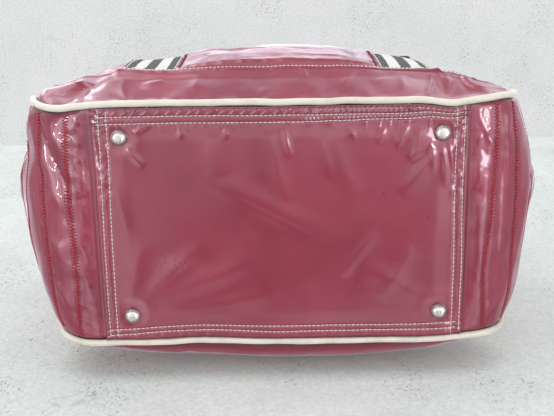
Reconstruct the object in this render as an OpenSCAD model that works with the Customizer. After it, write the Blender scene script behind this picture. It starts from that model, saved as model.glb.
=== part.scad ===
// Zip-top holdall of coated cloth that stands on four metal studs.
// Origin: middle of the base, at the level of the studs' tips. +X runs along the zip, -Y is the front, +Z is up.
// Lengths are in millimetres. Each face panel is drawn in its own sloping plane: X across, Y up the slope, Z outward.

/* [Body] */
// Width of a face panel between its piping lines
body_w = 358; // [340:2:380]
// Height of a face panel, measured up its slope
body_h = 272; // [256:2:290]
// Depth of the bag between the piping lines at the base
base_d = 192; // [184:2:208]
// Depth of the bag between the piping lines at the zip
top_d = 120; // [114:2:136]
// Corner radius at the base of a face panel
low_r = 38; // [32:1:42]
// Corner radius at the top of a face panel
top_r = 45; // [40:1:52]
// How far the front panel swells out
front_bulge = 34.5; // [24:0.5:38]
// How far the back panel swells out
back_bulge = 29.5; // [20:0.5:36]
// Height over which the front panel swells to its fullest
front_rise = 150; // [100:5:170]
// Height over which the back panel swells to its fullest
back_rise = 32; // [24:2:90]
// How the front panel leaves its base seam: 0.5 is a full roll, 1 a gentle curve
front_curve = 1; // [0.5:0.05:1]
// How the back panel leaves its base seam: 0.5 is a full roll, 1 a gentle curve
back_curve = 0.5; // [0.5:0.05:1]
// Height over which both face panels sink back towards the zip
top_fall = 150; // [110:5:160]
// How far the side gussets swell out
side_bulge = 43; // [30:1:48]

/* [Cloth] */
// Thickness of the coated shell cloth with its backing
shell_t = 1.6; // [1.2:0.1:2]
// Thickness of the lining
lining_t = 0.7; // [0.5:0.1:1]
// Gap between layers that are sewn together
sewn_gap = 0.3; // [0.2:0.05:0.4]
// Diameter of the piping
pipe_d = 5.5; // [4.5:0.25:6.5]
// How far the piping stands below the base panel
pipe_proud = 0.25; // [0:0.05:0.5]

/* [Base] */
// Distance from the base panel's ends to where the base corners start
bottom_margin = 4; // [2:0.5:12]
// Length of the lap of a side gusset under the base panel
gusset_lap = 12; // [8:1:16]
// Thickness of the stiffening board
board_t = 3; // [2:0.25:4]
// Distance of the board's long edges from the piping line
board_inset = 8; // [6:1:12]

/* [Studs] */
// Diameter of a stud's dome
stud_d = 12.5; // [10:0.5:15]
// Height of a stud's dome
stud_h = 5; // [4:0.25:6]
// Height of the rim round a dome's edge
stud_rim = 0.7; // [0.4:0.1:1.2]
// Diameter of the flat that wear leaves on a dome
stud_flat_d = 4; // [3:0.5:5]
// Distance between studs along the bag
stud_pitch_x = 236; // [220:1:244]
// Distance between studs across the bag
stud_pitch_y = 140; // [130:1:150]
// Diameter of a stud's shank
shank_d = 3; // [2.5:0.25:4]
// Clearance around a shank, in diameter
shank_play = 0.2; // [0.1:0.05:0.3]
// Diameter of the washer inside the bag
washer_d = 10; // [8:0.5:12]
// Thickness of the washer
washer_t = 0.8; // [0.6:0.1:1.2]
// Diameter of the clinched head
clinch_d = 5.4; // [4.5:0.2:6]
// Height of the clinched head
clinch_h = 1; // [0.8:0.1:1.4]

/* [Face bands] */
// Height of the seam where the lower band ends
band_h = 60; // [50:2:70]
// Height of the folded hem along the band's upper edge
hem_h = 7; // [5:0.5:9]
// How far the hem stands out over the strap ends
hem_rise = 0.5; // [0.3:0.1:1]

/* [Pocket] */
// Height of the pocket's mouth above the base seam
pocket_top = 186; // [170:2:194]
// How far the pocket swells out in the middle
pocket_puff = 5; // [2:0.5:7]
// Height of the binding on the pocket's mouth
binding_h = 11; // [8:1:14]
// Thickness of the binding on the pocket's mouth
binding_t = 1; // [0.6:0.1:1.4]

/* [Webbing] */
// Width of the striped webbing
webbing_w = 45; // [38:1:50]
// Thickness of the striped webbing
webbing_t = 2.4; // [1.8:0.1:3]
// Distance between the middles of a handle's two straps
strap_pitch = 202; // [186:2:206]
// Height of the sewn straps up the panel
strap_top = 206; // [196:2:214]

/* [Handles] */
// Length of a handle's flat legs
leg_len = 74; // [60:2:90]
// Height of a handle's arch above its legs
arch_h = 105; // [90:5:120]
// Width of the folded grip
grip_w = 24; // [20:1:28]
// Thickness of the folded grip
grip_t = 9; // [7:0.5:11]
// How far a handle leans in from its face panel, in degrees
handle_lean = 4.5; // [0:0.5:6]
// Share of a leg, from its foot, that stays flat before the fold starts
leg_flat = 0.15; // [0.05:0.05:0.4]

/* [Zip] */
// Length of the fixed panel at each end of the zip
end_len = 16; // [16:0.5:20]
// Distance from the zip's middle to the flaps' edges
zip_reveal = 9; // [8:0.5:11]
// Thickness of the zip tape
tape_t = 0.6; // [0.4:0.1:0.7]
// Width of each zip tape under a flap
tape_under = 11; // [9:1:14]
// Pitch of the teeth along one tape
tooth_pitch = 4; // [3.6:0.1:4.6]
// Width of a tooth
tooth_w = 1.7; // [1.4:0.1:1.8]
// Height of a tooth
tooth_h = 2.6; // [2.2:0.1:3]
// How far a tooth reaches past the zip's middle
tooth_mesh = 0.7; // [0.4:0.1:0.9]
// Distance from the zip's middle to the cord that carries the teeth
tooth_root = 3.2; // [3:0.1:3.6]
// Width of that cord
cord_w = 1.7; // [1.4:0.1:1.9]

/* [Slider] */
// Length of the slider
slider_len = 12; // [11:0.5:13]
// Width of the slider
slider_w = 12.4; // [12.4:0.2:14]
// Thickness of the slider's plates
plate_t = 1.1; // [0.9:0.1:1.4]
// Clearance between the slider and the zip
slider_play = 0.25; // [0.2:0.05:0.35]
// Length of the metal pull link
link_len = 14; // [13:0.5:18]
// Width of the metal pull link
link_w = 8; // [7:0.5:10]
// Thickness of the metal pull link
link_t = 1.5; // [1.2:0.1:1.7]
// Length of the pull tab beyond the link
tab_len = 30; // [22:1:36]
// Thickness of the pull tab
tab_t = 2.4; // [2:0.1:2.8]

/* [Hidden] */

$fn = 48;
eps = 0.01;

cherry = [0.52, 0.09, 0.18];
cream = [0.93, 0.9, 0.8];
charcoal = [0.2, 0.22, 0.23];
nickel = [0.75, 0.75, 0.73];
lining_grey = [0.28, 0.27, 0.28];
board_black = [0.1, 0.1, 0.1];

// The face panels' slope, and where their piping lines lie
half_w = body_w / 2;
slope = asin((base_d - top_d) / 2 / body_h);
pipe_r = pipe_d / 2;
pipe_z = stud_h + pipe_r - pipe_proud;
zip_z = pipe_z + body_h * cos(slope);
low_x = half_w - low_r;
top_x = half_w - top_r;

bottom_len = 2 * (low_x - bottom_margin);

// A cloth layer's two faces, counted outward from the piping line, and its distance from that line
face_out = pipe_z - stud_h - shell_t;
face_in = face_out - shell_t;
edge_in = pipe_r + 0.1;

// The straps and the pocket lie on the face panels
layer_0 = face_out + sewn_gap;
strap_out = layer_0 + webbing_t;
strap_x = strap_pitch / 2;
pocket_w = strap_pitch - webbing_w - 2 * sewn_gap;
hem_out = strap_out + hem_rise;

// The handles turn where they leave the sewn straps
strap_over = 3;
turn_s = strap_top - strap_over;
turn_out = strap_out + sewn_gap + webbing_t / 2;

// The zip
flap_x = top_x - sewn_gap - end_len;
flap_mid = (face_out + face_in) / 2;
flap_turn_y = top_d / 2 - pipe_r - 0.15 - shell_t / 2;
tape_top = face_in;
tape_mid = tape_top - tape_t / 2;
chain_gap = tooth_h / 2 + slider_play;
slider_top = chain_gap + plate_t;
slider_x = top_x - sewn_gap - slider_len / 2 - 2;
post_len = 3;
post_w = 2.2;
bridge_h = link_t + 2 * slider_play;
bridge_t = 1;
link_z = zip_z + tape_mid + slider_top + bridge_h / 2;
first_tooth = -flap_x + tooth_pitch / 2;
tooth_count = floor((2 * flap_x - tooth_pitch) / tooth_pitch) + 1;

// ---------- Shapes that the panels share ----------

// Share of full swell at a distance d from an edge, level from reach on: an ellipse at k = 0.5, a parabola at 1
function swell(d, reach, k = 0.5) = pow(1 - pow(1 - min(max(d, 0) / reach, 1), 2), k);

// Half the width of a face panel at height s, with its edge brought in by e
function half_at(s, e) =
    s < low_r ? low_x + sqrt(max(0, pow(low_r - e, 2) - pow(low_r - s, 2)))
    : s > body_h - top_r ? top_x + sqrt(max(0, pow(top_r - e, 2) - pow(s - body_h + top_r, 2)))
    : half_w - e;

// How far a layer whose edge is e in from the piping line stands out of a face's plane at x, s
function face_swell(x, s, side, e = edge_in) =
    (side == "front" ? front_bulge * swell(s - e, front_rise, front_curve)
        : back_bulge * swell(s - e, back_rise, back_curve))
    * swell(body_h - e - s, top_fall)
    * sqrt(max(0, 1 - pow(x / half_at(s, e), 2)));

// Heights of rows: by angle up the base corners, in n steps past a up to b, and by angle up the top corners
function low_rows(e, n) = [for (i = [0:n]) low_r - (low_r - e) * cos(90 * i / n)];
function steps(a, b, n) = [for (i = [1:n]) a + (b - a) * i / n];
function top_rows(e, n) = [for (i = [n - 1:-1:0]) body_h - top_r + (top_r - e) * cos(90 * i / n)];

// Points of one side of a face panel: a row for each height, spaced as a sine across it
function face_grid(side, rows, cols, e, offs) = [
    for (i = [0:len(rows) - 1]) [
        for (j = [0:cols]) let (x = half_at(rows[i], e) * sin(180 * j / cols - 90))
        [x, rows[i], offs[i] + face_swell(x, rows[i], side, e)]
    ]
];

// Points of one side of a strip on a face panel, wide across, with puff more swell in its middle
function patch_grid(side, rows, mid, wide, cols, off, puff = 0) = [
    for (s = rows) [
        for (j = [0:cols]) let (x = mid + wide * (j / cols - 0.5), across = max(0, sin(180 * j / cols)))
        [x, s, off + face_swell(x, s, side) + puff * sqrt(across)]
    ]
];

function flat_list(m) = [for (r = m) for (p = r) p];

// A closed sheet between two grids of points of the same size, the outer one first
module sheet(outer, inner) {
    r = len(outer);
    c = len(outer[0]);
    n = r * c;
    function a(i, j) = i * c + j;
    function b(i, j) = n + i * c + j;
    polyhedron(
        points = concat(flat_list(outer), flat_list(inner)),
        faces = concat(
            [for (i = [0:r - 2], j = [0:c - 2]) each [
                [a(i, j), a(i + 1, j), a(i + 1, j + 1)], [a(i, j), a(i + 1, j + 1), a(i, j + 1)],
                [b(i, j), b(i + 1, j + 1), b(i + 1, j)], [b(i, j), b(i, j + 1), b(i + 1, j + 1)],
            ]],
            [for (i = [0:r - 2]) each [
                [a(i, 0), b(i, 0), b(i + 1, 0)], [a(i, 0), b(i + 1, 0), a(i + 1, 0)],
                [a(i, c - 1), a(i + 1, c - 1), b(i + 1, c - 1)], [a(i, c - 1), b(i + 1, c - 1), b(i, c - 1)],
            ]],
            [for (j = [0:c - 2]) each [
                [a(0, j), a(0, j + 1), b(0, j + 1)], [a(0, j), b(0, j + 1), b(0, j)],
                [a(r - 1, j), b(r - 1, j), b(r - 1, j + 1)], [a(r - 1, j), b(r - 1, j + 1), a(r - 1, j + 1)],
            ]]
        ),
        convexity = 4
    );
}

// Places a face panel's plane: its X across the bag, its Y up the slope and its Z outward
module face_frame(side) {
    mirror([0, side == "back" ? 1 : 0, 0])
        translate([0, -base_d / 2, pipe_z])
            rotate([90 - slope, 0, 0])
                children();
}

// ---------- Base ----------

module at_studs() {
    for (x = [-1, 1], y = [-1, 1])
        translate([x * stud_pitch_x / 2, y * stud_pitch_y / 2, 0])
            children();
}

module stud_holes() {
    at_studs()
        cylinder(d = shank_d + shank_play, h = 4 * stud_h);
}

module bottom_panel() {
    wide = base_d - 2 * edge_in;
    color(cherry)
        difference() {
            translate([-bottom_len / 2, -wide / 2, stud_h])
                cube([bottom_len, wide, shell_t]);
            stud_holes();
        }
}

module base_board() {
    long = bottom_len - 2 * gusset_lap - 2 * sewn_gap;
    wide = base_d - 2 * board_inset;
    corner = 12;
    color(board_black)
        translate([0, 0, stud_h + shell_t])
            difference() {
                linear_extrude(board_t)
                    difference() {
                        square([long, wide], center = true);
                        for (x = [-1, 1], y = [-1, 1])
                            translate([x * long / 2, y * wide / 2])
                                difference() {
                                    square(2 * corner, center = true);
                                    translate([-x * corner, -y * corner])
                                        circle(corner);
                                }
                    }
                translate([0, 0, -stud_h])
                    stud_holes();
            }
}

// A dome with a worn flat tip, its shank, and the head that is clinched over the washer
module stud() {
    grip = shell_t + board_t + washer_t;
    steps = 10;
    rotate_extrude()
        polygon(concat(
            [[0, 0], [stud_flat_d / 2, 0]],
            [for (i = [1:steps]) let (t = 90 * i / steps)
                [stud_flat_d / 2 + (stud_d / 2 - stud_flat_d / 2) * sin(t), (stud_h - stud_rim) * (1 - cos(t))]],
            [
                [stud_d / 2, stud_h],
                [shank_d / 2, stud_h],
                [shank_d / 2, stud_h + grip],
                [clinch_d / 2, stud_h + grip],
                [clinch_d / 2 - 0.4, stud_h + grip + clinch_h],
                [0, stud_h + grip + clinch_h],
            ]
        ));
}

module bottom_studs() {
    color(nickel)
        at_studs()
            stud();
}

module stud_washers() {
    color(nickel)
        at_studs()
            translate([0, 0, stud_h + shell_t + board_t])
                difference() {
                    cylinder(d = washer_d, h = washer_t);
                    translate([0, 0, -1])
                        cylinder(d = shank_d + shank_play, h = washer_t + 2);
                }
}

// ---------- Faces ----------

// The lower band, with a folded hem along its upper edge
module face_band(side) {
    hem_start = band_h - hem_h;
    rows = concat(low_rows(edge_in, 6), steps(low_r, hem_start - hem_rise, 2), [hem_start, band_h]);
    color(cherry)
        face_frame(side)
            sheet(
                face_grid(side, rows, 24, edge_in, [for (s = rows) s < hem_start ? face_out : hem_out]),
                face_grid(side, rows, 24, edge_in, [for (s = rows) face_in])
            );
}

module face_panel(side) {
    start = band_h + sewn_gap;
    rows = concat([start], steps(start, body_h - top_r, 9), top_rows(edge_in, 6));
    color(cherry)
        face_frame(side)
            sheet(
                face_grid(side, rows, 24, edge_in, [for (s = rows) face_out]),
                face_grid(side, rows, 24, edge_in, [for (s = rows) face_in])
            );
}

module front_pocket() {
    start = band_h + sewn_gap;
    rows = concat([start], steps(start, pocket_top - binding_h / 2, 9));
    color(cherry)
        face_frame("front")
            sheet(
                patch_grid("front", rows, 0, pocket_w, 16, layer_0 + webbing_t, pocket_puff),
                patch_grid("front", rows, 0, pocket_w, 16, layer_0)
            );
}

// The cloth binding folded over the pocket's mouth
module front_pocket_binding() {
    start = pocket_top - binding_h / 2 + sewn_gap;
    rows = concat([start], steps(start, pocket_top + binding_h / 2, 2));
    color(cherry)
        face_frame("front")
            sheet(
                patch_grid("front", rows, 0, pocket_w, 16, layer_0 + webbing_t + binding_t, pocket_puff),
                patch_grid("front", rows, 0, pocket_w, 16, layer_0)
            );
}

// The sewn end of a handle's webbing, from the band's hem up to where the handle turns
module strap(side, x) {
    start = band_h + sewn_gap;
    rows = concat([start], steps(start, strap_top, 9));
    color(charcoal)
        face_frame(side)
            sheet(
                patch_grid(side, rows, x, webbing_w, 5, strap_out),
                patch_grid(side, rows, x, webbing_w, 5, layer_0)
            );
}

// One closed loop of round piping in a face panel's plane
module piping(side) {
    color(cream)
        face_frame(side) {
            for (m = [0, 1])
                mirror([m, 0, 0]) {
                    pipe_bend(low_x, low_r, low_r, -90);
                    pipe_bend(top_x, body_h - top_r, top_r, 0);
                    translate([half_w, low_r, 0])
                        rotate([-90, 0, 0])
                            cylinder(r = pipe_r, h = body_h - low_r - top_r);
                }
            pipe_run(low_x, 0);
            pipe_run(top_x, body_h);
        }
}

module pipe_bend(x, s, r, from) {
    translate([x, s, 0])
        rotate([0, 0, from])
            rotate_extrude(angle = 90)
                translate([r, 0])
                    circle(pipe_r);
}

module pipe_run(x, s) {
    translate([-x, s, 0])
        rotate([0, 90, 0])
            cylinder(r = pipe_r, h = 2 * x);
}

// ---------- Side gussets ----------

// Stations up the gusset's path: [x, s, outward x, outward s, share of the way round]
low_arc = low_r * PI / 2;
top_arc = top_r * PI / 2;
side_run = body_h - low_r - top_r;
path_len = low_arc + side_run + top_arc;

function low_station(t) = [low_x + low_r * sin(t), low_r - low_r * cos(t), sin(t), -cos(t), low_arc * t / 90 / path_len];
function side_station(f) = [half_w, low_r + side_run * f, 1, 0, (low_arc + side_run * f) / path_len];
function top_station(t) = [
    top_x + top_r * cos(t), body_h - top_r + top_r * sin(t), cos(t), sin(t),
    (low_arc + side_run + top_arc * t / 90) / path_len
];
function stations(n_low, n_side, n_top) = concat(
    [for (i = [0:n_low]) low_station(90 * i / n_low)],
    [for (i = [1:n_side]) side_station(i / n_side)],
    [for (i = [1:n_top]) top_station(90 * i / n_top)]
);

// Share of a gusset's full swell at share f of the way round: it flattens sooner towards the zip
function side_swell(f) = pow(max(0, sin(180 * f)), f < 0.5 ? 1.2 : 2);

// A row of points across the gusset at one station
function gusset_row(st, off, cols, e) = [
    for (j = [0:cols]) let (
        f = sin(180 * j / cols - 90),
        y = f * (base_d / 2 - st[1] * sin(slope) - e),
        c = side_bulge * side_swell(st[4]) * pow(max(0, 1 - f * f), 0.9)
    )
    [st[0] + st[2] * (off + c), y, pipe_z + cos(slope) * (st[1] + st[3] * (off + c))]
];

module gusset(side) {
    lap = [bottom_len / 2 - gusset_lap, 0, 0, -1, 0];
    st = concat([lap], stations(7, 9, 7));
    color(cherry)
        mirror([side == "left" ? 1 : 0, 0, 0])
            sheet(
                [for (s = st) gusset_row(s, face_in, 10, edge_in)],
                [for (s = st) gusset_row(s, face_out, 10, edge_in)]
            );
}

// ---------- Lining ----------

lining_edge = edge_in + 1.4;
floor_off = pipe_z - (stud_h + shell_t + board_t + washer_t + clinch_h + sewn_gap);

module face_lining(side) {
    rows = concat(low_rows(lining_edge, 6), steps(low_r, body_h - top_r, 5), top_rows(lining_edge, 6));
    top = face_in - sewn_gap;
    color(lining_grey)
        face_frame(side)
            sheet(
                face_grid(side, rows, 14, lining_edge, [for (s = rows) top]),
                face_grid(side, rows, 14, lining_edge, [for (s = rows) top - lining_t])
            );
}

// One strip of lining that runs down one side, across the floor and up the other side
module gusset_lining() {
    right = stations(6, 7, 5);
    left = [for (i = [len(right) - 1:-1:0]) let (s = right[i]) [-s[0], s[1], -s[2], s[3], s[4]]];
    st = concat(left, right);
    color(lining_grey)
        sheet(
            [for (s = st) gusset_row(s, floor_off - lining_t, 6, lining_edge + 1)],
            [for (s = st) gusset_row(s, floor_off, 6, lining_edge + 1)]
        );
}

// ---------- Zip ----------

// The fixed cloth panel at one end of the zip, with the slot that the slider parks in
module top_end(side) {
    wide = top_d - 2 * edge_in;
    slot = end_len - 2;
    color(cherry)
        mirror([side == "left" ? 1 : 0, 0, 0])
            translate([flap_x + sewn_gap, 0, zip_z + face_in])
                difference() {
                    translate([0, -wide / 2, 0])
                        cube([end_len - sewn_gap, wide, shell_t]);
                    translate([-1, -zip_reveal, -1])
                        cube([slot + 1, 2 * zip_reveal, shell_t + 2]);
                }
}

module tooth(reach) {
    tip = tooth_w * 0.3;
    linear_extrude(tooth_h, center = true)
        polygon([
            [-tooth_w / 2, -tooth_root - eps], [tooth_w / 2, -tooth_root - eps],
            [tooth_w / 2, reach - tip], [tooth_w / 2 - tip, reach],
            [tip - tooth_w / 2, reach], [-tooth_w / 2, reach - tip],
        ]);
}

// Teeth on their cord, on the front side of the zip, from x0 on
module tooth_row(x0, count, start, long) {
    translate([0, 0, zip_z + tape_mid]) {
        for (i = [0:count - 1])
            translate([x0 + tooth_pitch * i, 0, 0])
                tooth(tooth_mesh);
        translate([start, -tooth_root - cord_w, -tooth_h / 2])
            cube([long, cord_w, tooth_h]);
    }
}

module zip_teeth(side) {
    shift = side == "back" ? tooth_pitch / 2 : 0;
    color(nickel)
        mirror([0, side == "back" ? 1 : 0, 0])
            tooth_row(first_tooth + shift, tooth_count - (side == "back" ? 1 : 0), -flap_x, 2 * flap_x);
}

// The cloth tape that carries one row of teeth: it runs under the flap's edge
module zip_tape(side) {
    inner = tooth_root + cord_w;
    color(charcoal)
        mirror([0, side == "back" ? 1 : 0, 0])
            translate([-flap_x, -zip_reveal - tape_under, zip_z + tape_top - tape_t])
                cube([2 * flap_x, zip_reveal + tape_under - inner, tape_t]);
}

// One half of the top opening. It turns up about the seam beside the piping
module flap(side) {
    color(cherry)
        mirror([0, side == "back" ? 1 : 0, 0]) {
            translate([-flap_x, -flap_turn_y, zip_z + face_in])
                cube([2 * flap_x, flap_turn_y - zip_reveal, shell_t]);
            translate([-flap_x, -flap_turn_y, zip_z + flap_mid])
                rotate([0, 90, 0])
                    cylinder(d = shell_t, h = 2 * flap_x);
        }
}

// The short fixed length of zip at one end: tapes, cords, and the stops that the slider ends against
module zip_end(side) {
    inner = tooth_root + cord_w;
    tape_w = zip_reveal + tape_under - inner;
    long = end_len - sewn_gap;
    stop_len = top_x - slider_x - slider_len / 2 - 2 * sewn_gap;
    stop_y = side == "left" ? tooth_root : 0;
    translate([side == "left" ? -flap_x - sewn_gap - long : flap_x + sewn_gap, 0, zip_z + tape_mid]) {
        color(charcoal)
            for (m = [0, 1])
                mirror([0, m, 0]) {
                    translate([0, inner, -tape_t / 2])
                        cube([long, tape_w, tape_t]);
                    translate([side == "left" ? stop_len : 0, tooth_root, -tooth_h / 2])
                        cube([long - stop_len, cord_w, tooth_h]);
                }
        color(nickel)
            for (m = [0, 1])
                mirror([0, m, 0])
                    translate([side == "left" ? 0 : long - stop_len, stop_y, -tooth_h / 2])
                        cube([stop_len, inner - stop_y, tooth_h / 2 + tape_t / 2]);
    }
}

// One plate of the slider: full width along its lips, narrower at the nose and the tail
lip_len = slider_len * 0.7;
nose_w = slider_w * 0.56;
tail_w = slider_w * 0.76;

module slider_plate() {
    corners = [
        [slider_len / 2, tail_w / 2],
        [lip_len / 2, slider_w / 2],
        [-lip_len / 2, slider_w / 2],
        [-slider_len / 2, nose_w / 2],
    ];
    linear_extrude(plate_t)
        polygon(concat(corners, [for (i = [3:-1:0]) [corners[i][0], -corners[i][1]]]));
}

// Two plates joined by a post, with lips that hold the teeth in and a bridge that holds the pull
module zip_slider() {
    lip_t = slider_w / 2 - (tooth_root + cord_w + slider_play);
    lip_gap = tape_t / 2 + slider_play;
    color(nickel)
        translate([-slider_x, 0, zip_z + tape_mid]) {
            for (m = [0, 1])
                mirror([0, 0, m]) {
                    translate([0, 0, chain_gap])
                        slider_plate();
                    for (n = [0, 1])
                        mirror([0, n, 0])
                            translate([-lip_len / 2, slider_w / 2 - lip_t, lip_gap])
                                cube([lip_len, lip_t, chain_gap - lip_gap + eps]);
                }
            translate([-slider_len / 2, -post_w / 2, -chain_gap - eps])
                cube([post_len, post_w, 2 * (chain_gap + eps)]);
            slider_bridge();
        }
}

module slider_bridge() {
    long = lip_len;
    wide = 2.4;
    leg = 1.4 * bridge_t;
    translate([-long / 2, -wide / 2, slider_top - eps])
        difference() {
            cube([long, wide, bridge_h + bridge_t + eps]);
            translate([leg, -1, 0])
                cube([long - 2 * leg, wide + 2, bridge_h + eps]);
        }
}

// A flat metal frame: one end bar lies under the slider's bridge, the other carries the tab
module zip_pull_link() {
    arm = 1.4;
    color(nickel)
        translate([-slider_x, 0, link_z]) {
            for (x = [0, link_len])
                translate([x, link_w / 2, 0])
                    rotate([90, 0, 0])
                        cylinder(d = link_t, h = link_w);
            for (m = [0, 1])
                mirror([0, m, 0])
                    translate([0, link_w / 2 - arm, -link_t / 2])
                        cube([link_len, arm, link_t]);
        }
}

// A strip folded round the link's end bar and stitched flat
module zip_pull_tab() {
    play = slider_play;
    eye_r = link_t / 2 + play;
    wide = link_w - 2 * 1.4 - 2 * play;
    color(cherry)
        translate([-slider_x + link_len, 0, link_z])
            difference() {
                union() {
                    translate([0, wide / 2, 0])
                        rotate([90, 0, 0])
                            cylinder(r = eye_r + 0.9, h = wide);
                    translate([0, -wide / 2, -tab_t / 2])
                        cube([eye_r + 4, wide, tab_t]);
                    translate([eye_r + 2, -link_w / 2 - 0.5, -tab_t / 2])
                        cube([tab_len - 2, link_w + 1, tab_t]);
                }
                translate([0, link_w, 0])
                    rotate([90, 0, 0])
                        cylinder(r = eye_r, h = 2 * link_w);
            }
}

// ---------- Handles ----------

// Smooth step from 0 to 1
function ease(t) = let (c = min(max(t, 0), 1)) c * c * (3 - 2 * c);

// Stations along a handle: [x, s, tangent angle, share folded]
function leg_at(f) = [strap_x, leg_len * f, 90, ease((f - leg_flat) / (1 - leg_flat))];
function arch_at(t) = [strap_x * cos(t), leg_len + arch_h * sin(t), 90 + t, 1];

handle_right = concat([for (i = [0:7]) leg_at(i / 7)], [for (i = [1:9]) arch_at(90 * i / 9)]);
handle_path = concat(
    handle_right,
    [for (i = [len(handle_right) - 2:-1:0]) let (h = handle_right[i]) [-h[0], h[1], 360 - h[2], h[3]]]
);

// The webbing's section: a flat strip where it is sewn, a rounded fold along the grip
ring_n = 12;
flat_p = 0.25;
fold_p = 0.8;
function handle_ring(h) = [
    for (k = [0:ring_n - 1]) let (
        a = 360 * k / ring_n,
        wide = webbing_w + (grip_w - webbing_w) * h[3],
        thick = webbing_t + (grip_t - webbing_t) * h[3],
        p = flat_p + (fold_p - flat_p) * h[3],
        u = wide / 2 * sign(cos(a)) * pow(abs(cos(a)), p),
        v = thick / 2 * sign(sin(a)) * pow(abs(sin(a)), p)
    )
    [h[0] + u * sin(h[2]), h[1] - u * cos(h[2]), v]
];

module handle(side) {
    rings = [for (h = handle_path) handle_ring(h)];
    n = ring_n;
    last = len(rings) - 1;
    out = turn_out + face_swell(strap_x - webbing_w / 2, turn_s, side);
    color(charcoal)
        face_frame(side)
            translate([0, turn_s, out])
                rotate([-handle_lean, 0, 0])
                    polyhedron(
                        points = flat_list(rings),
                        faces = concat(
                            [for (i = [0:last - 1], k = [0:n - 1]) each [
                                [i * n + k, i * n + (k + 1) % n, (i + 1) * n + (k + 1) % n],
                                [i * n + k, (i + 1) * n + (k + 1) % n, (i + 1) * n + k],
                            ]],
                            [for (k = [1:n - 2]) [0, k + 1, k]],
                            [for (k = [1:n - 2]) [last * n, last * n + k, last * n + k + 1]]
                        ),
                        convexity = 6
                    );
}

bottom_panel();
base_board();
bottom_studs();
stud_washers();
face_band("front");  // front_band
face_panel("front");  // front_panel
front_pocket();
front_pocket_binding();
piping("front");  // front_piping
face_band("back");  // back_band
face_panel("back");  // back_panel
piping("back");  // back_piping
gusset("left");  // left_gusset
gusset("right");  // right_gusset
top_end("left");  // left_top_end
top_end("right");  // right_top_end
strap("front", -strap_x);  // front_left_strap
strap("front", strap_x);  // front_right_strap
strap("back", -strap_x);  // back_left_strap
strap("back", strap_x);  // back_right_strap
face_lining("front");  // front_lining
face_lining("back");  // back_lining
gusset_lining();
zip_end("left");  // left_zip_end
zip_end("right");  // right_zip_end
flap("front");  // front_flap
zip_tape("front");  // front_zip_tape
zip_teeth("front");  // front_zip_teeth
flap("back");  // back_flap
zip_tape("back");  // back_zip_tape
zip_teeth("back");  // back_zip_teeth
zip_slider();
zip_pull_link();
zip_pull_tab();
handle("front");  // front_handle
handle("back");  // back_handle
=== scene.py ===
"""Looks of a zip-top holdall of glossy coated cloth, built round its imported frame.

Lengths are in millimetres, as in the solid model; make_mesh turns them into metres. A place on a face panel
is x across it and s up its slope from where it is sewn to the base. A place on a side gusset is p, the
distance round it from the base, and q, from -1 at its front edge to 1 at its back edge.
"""

import functools
import math

import bpy
import numpy as np
from mathutils import Matrix, Vector


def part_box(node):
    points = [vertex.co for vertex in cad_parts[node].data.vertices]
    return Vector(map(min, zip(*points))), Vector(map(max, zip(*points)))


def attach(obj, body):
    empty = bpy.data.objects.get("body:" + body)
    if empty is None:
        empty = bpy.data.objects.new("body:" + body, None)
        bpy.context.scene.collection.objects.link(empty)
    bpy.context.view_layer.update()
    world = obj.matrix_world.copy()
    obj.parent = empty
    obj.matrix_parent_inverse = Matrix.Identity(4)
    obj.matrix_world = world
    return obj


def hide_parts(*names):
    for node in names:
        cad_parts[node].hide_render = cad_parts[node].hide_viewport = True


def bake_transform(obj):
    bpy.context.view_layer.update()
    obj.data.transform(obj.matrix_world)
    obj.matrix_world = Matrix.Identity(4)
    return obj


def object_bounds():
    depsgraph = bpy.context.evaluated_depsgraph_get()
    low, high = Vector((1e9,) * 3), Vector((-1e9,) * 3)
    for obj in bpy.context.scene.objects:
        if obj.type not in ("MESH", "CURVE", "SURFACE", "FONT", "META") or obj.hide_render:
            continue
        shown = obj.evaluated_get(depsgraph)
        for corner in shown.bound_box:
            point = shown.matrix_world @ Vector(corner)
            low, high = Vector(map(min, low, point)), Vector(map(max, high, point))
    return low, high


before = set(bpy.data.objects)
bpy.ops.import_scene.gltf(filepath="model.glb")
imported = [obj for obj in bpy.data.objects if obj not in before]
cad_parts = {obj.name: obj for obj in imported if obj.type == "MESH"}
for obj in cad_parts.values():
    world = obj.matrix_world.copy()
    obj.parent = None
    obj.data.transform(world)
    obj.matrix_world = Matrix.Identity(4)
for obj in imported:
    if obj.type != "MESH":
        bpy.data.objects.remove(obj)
CAD_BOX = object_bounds()
MM = 0.001

# ---------- Sizes of the bag ----------

BODY_W, BODY_H, BASE_D, TOP_D = 358.0, 272.0, 192.0, 120.0
LOW_R, TOP_R = 38.0, 45.0
BULGE = {"front": 34.5, "back": 29.5}
RISE = {"front": 150.0, "back": 32.0}
CURVE = {"front": 1.0, "back": 0.5}
TOP_FALL, SIDE_BULGE = 150.0, 43.0
SHELL_T, LINING_T, SEWN_GAP = 1.6, 0.7, 0.3
PIPE_R, STUD_H = 2.75, 5.0
PIPE_Z = STUD_H + PIPE_R - 0.25
GUSSET_LAP, BAND_H, HEM_H = 12.0, 60.0, 7.0
POCKET_TOP, POCKET_PUFF, BINDING_H, BINDING_T = 186.0, 5.0, 11.0, 1.0
WEB_W, WEB_T, STRAP_X, STRAP_TOP = 45.0, 2.4, 101.0, 206.0
LEG_LEN, ARCH_H, GRIP_W, GRIP_T = 74.0, 105.0, 24.0, 9.0
HANDLE_LEAN, LEG_FLAT, TURN_S = 4.5, 0.15, 203.0
END_LEN, ZIP_REVEAL, TAPE_T, TAPE_UNDER = 16.0, 9.0, 0.6, 11.0
TOOTH_PITCH, TOOTH_W, TOOTH_H, TOOTH_MESH = 4.0, 1.7, 2.6, 0.7
TOOTH_ROOT, CORD_W = 3.2, 1.7
STUD_X, STUD_Y, STUD_R, WASHER_TOP = 118.0, 70.0, 6.25, 11.7
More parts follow.
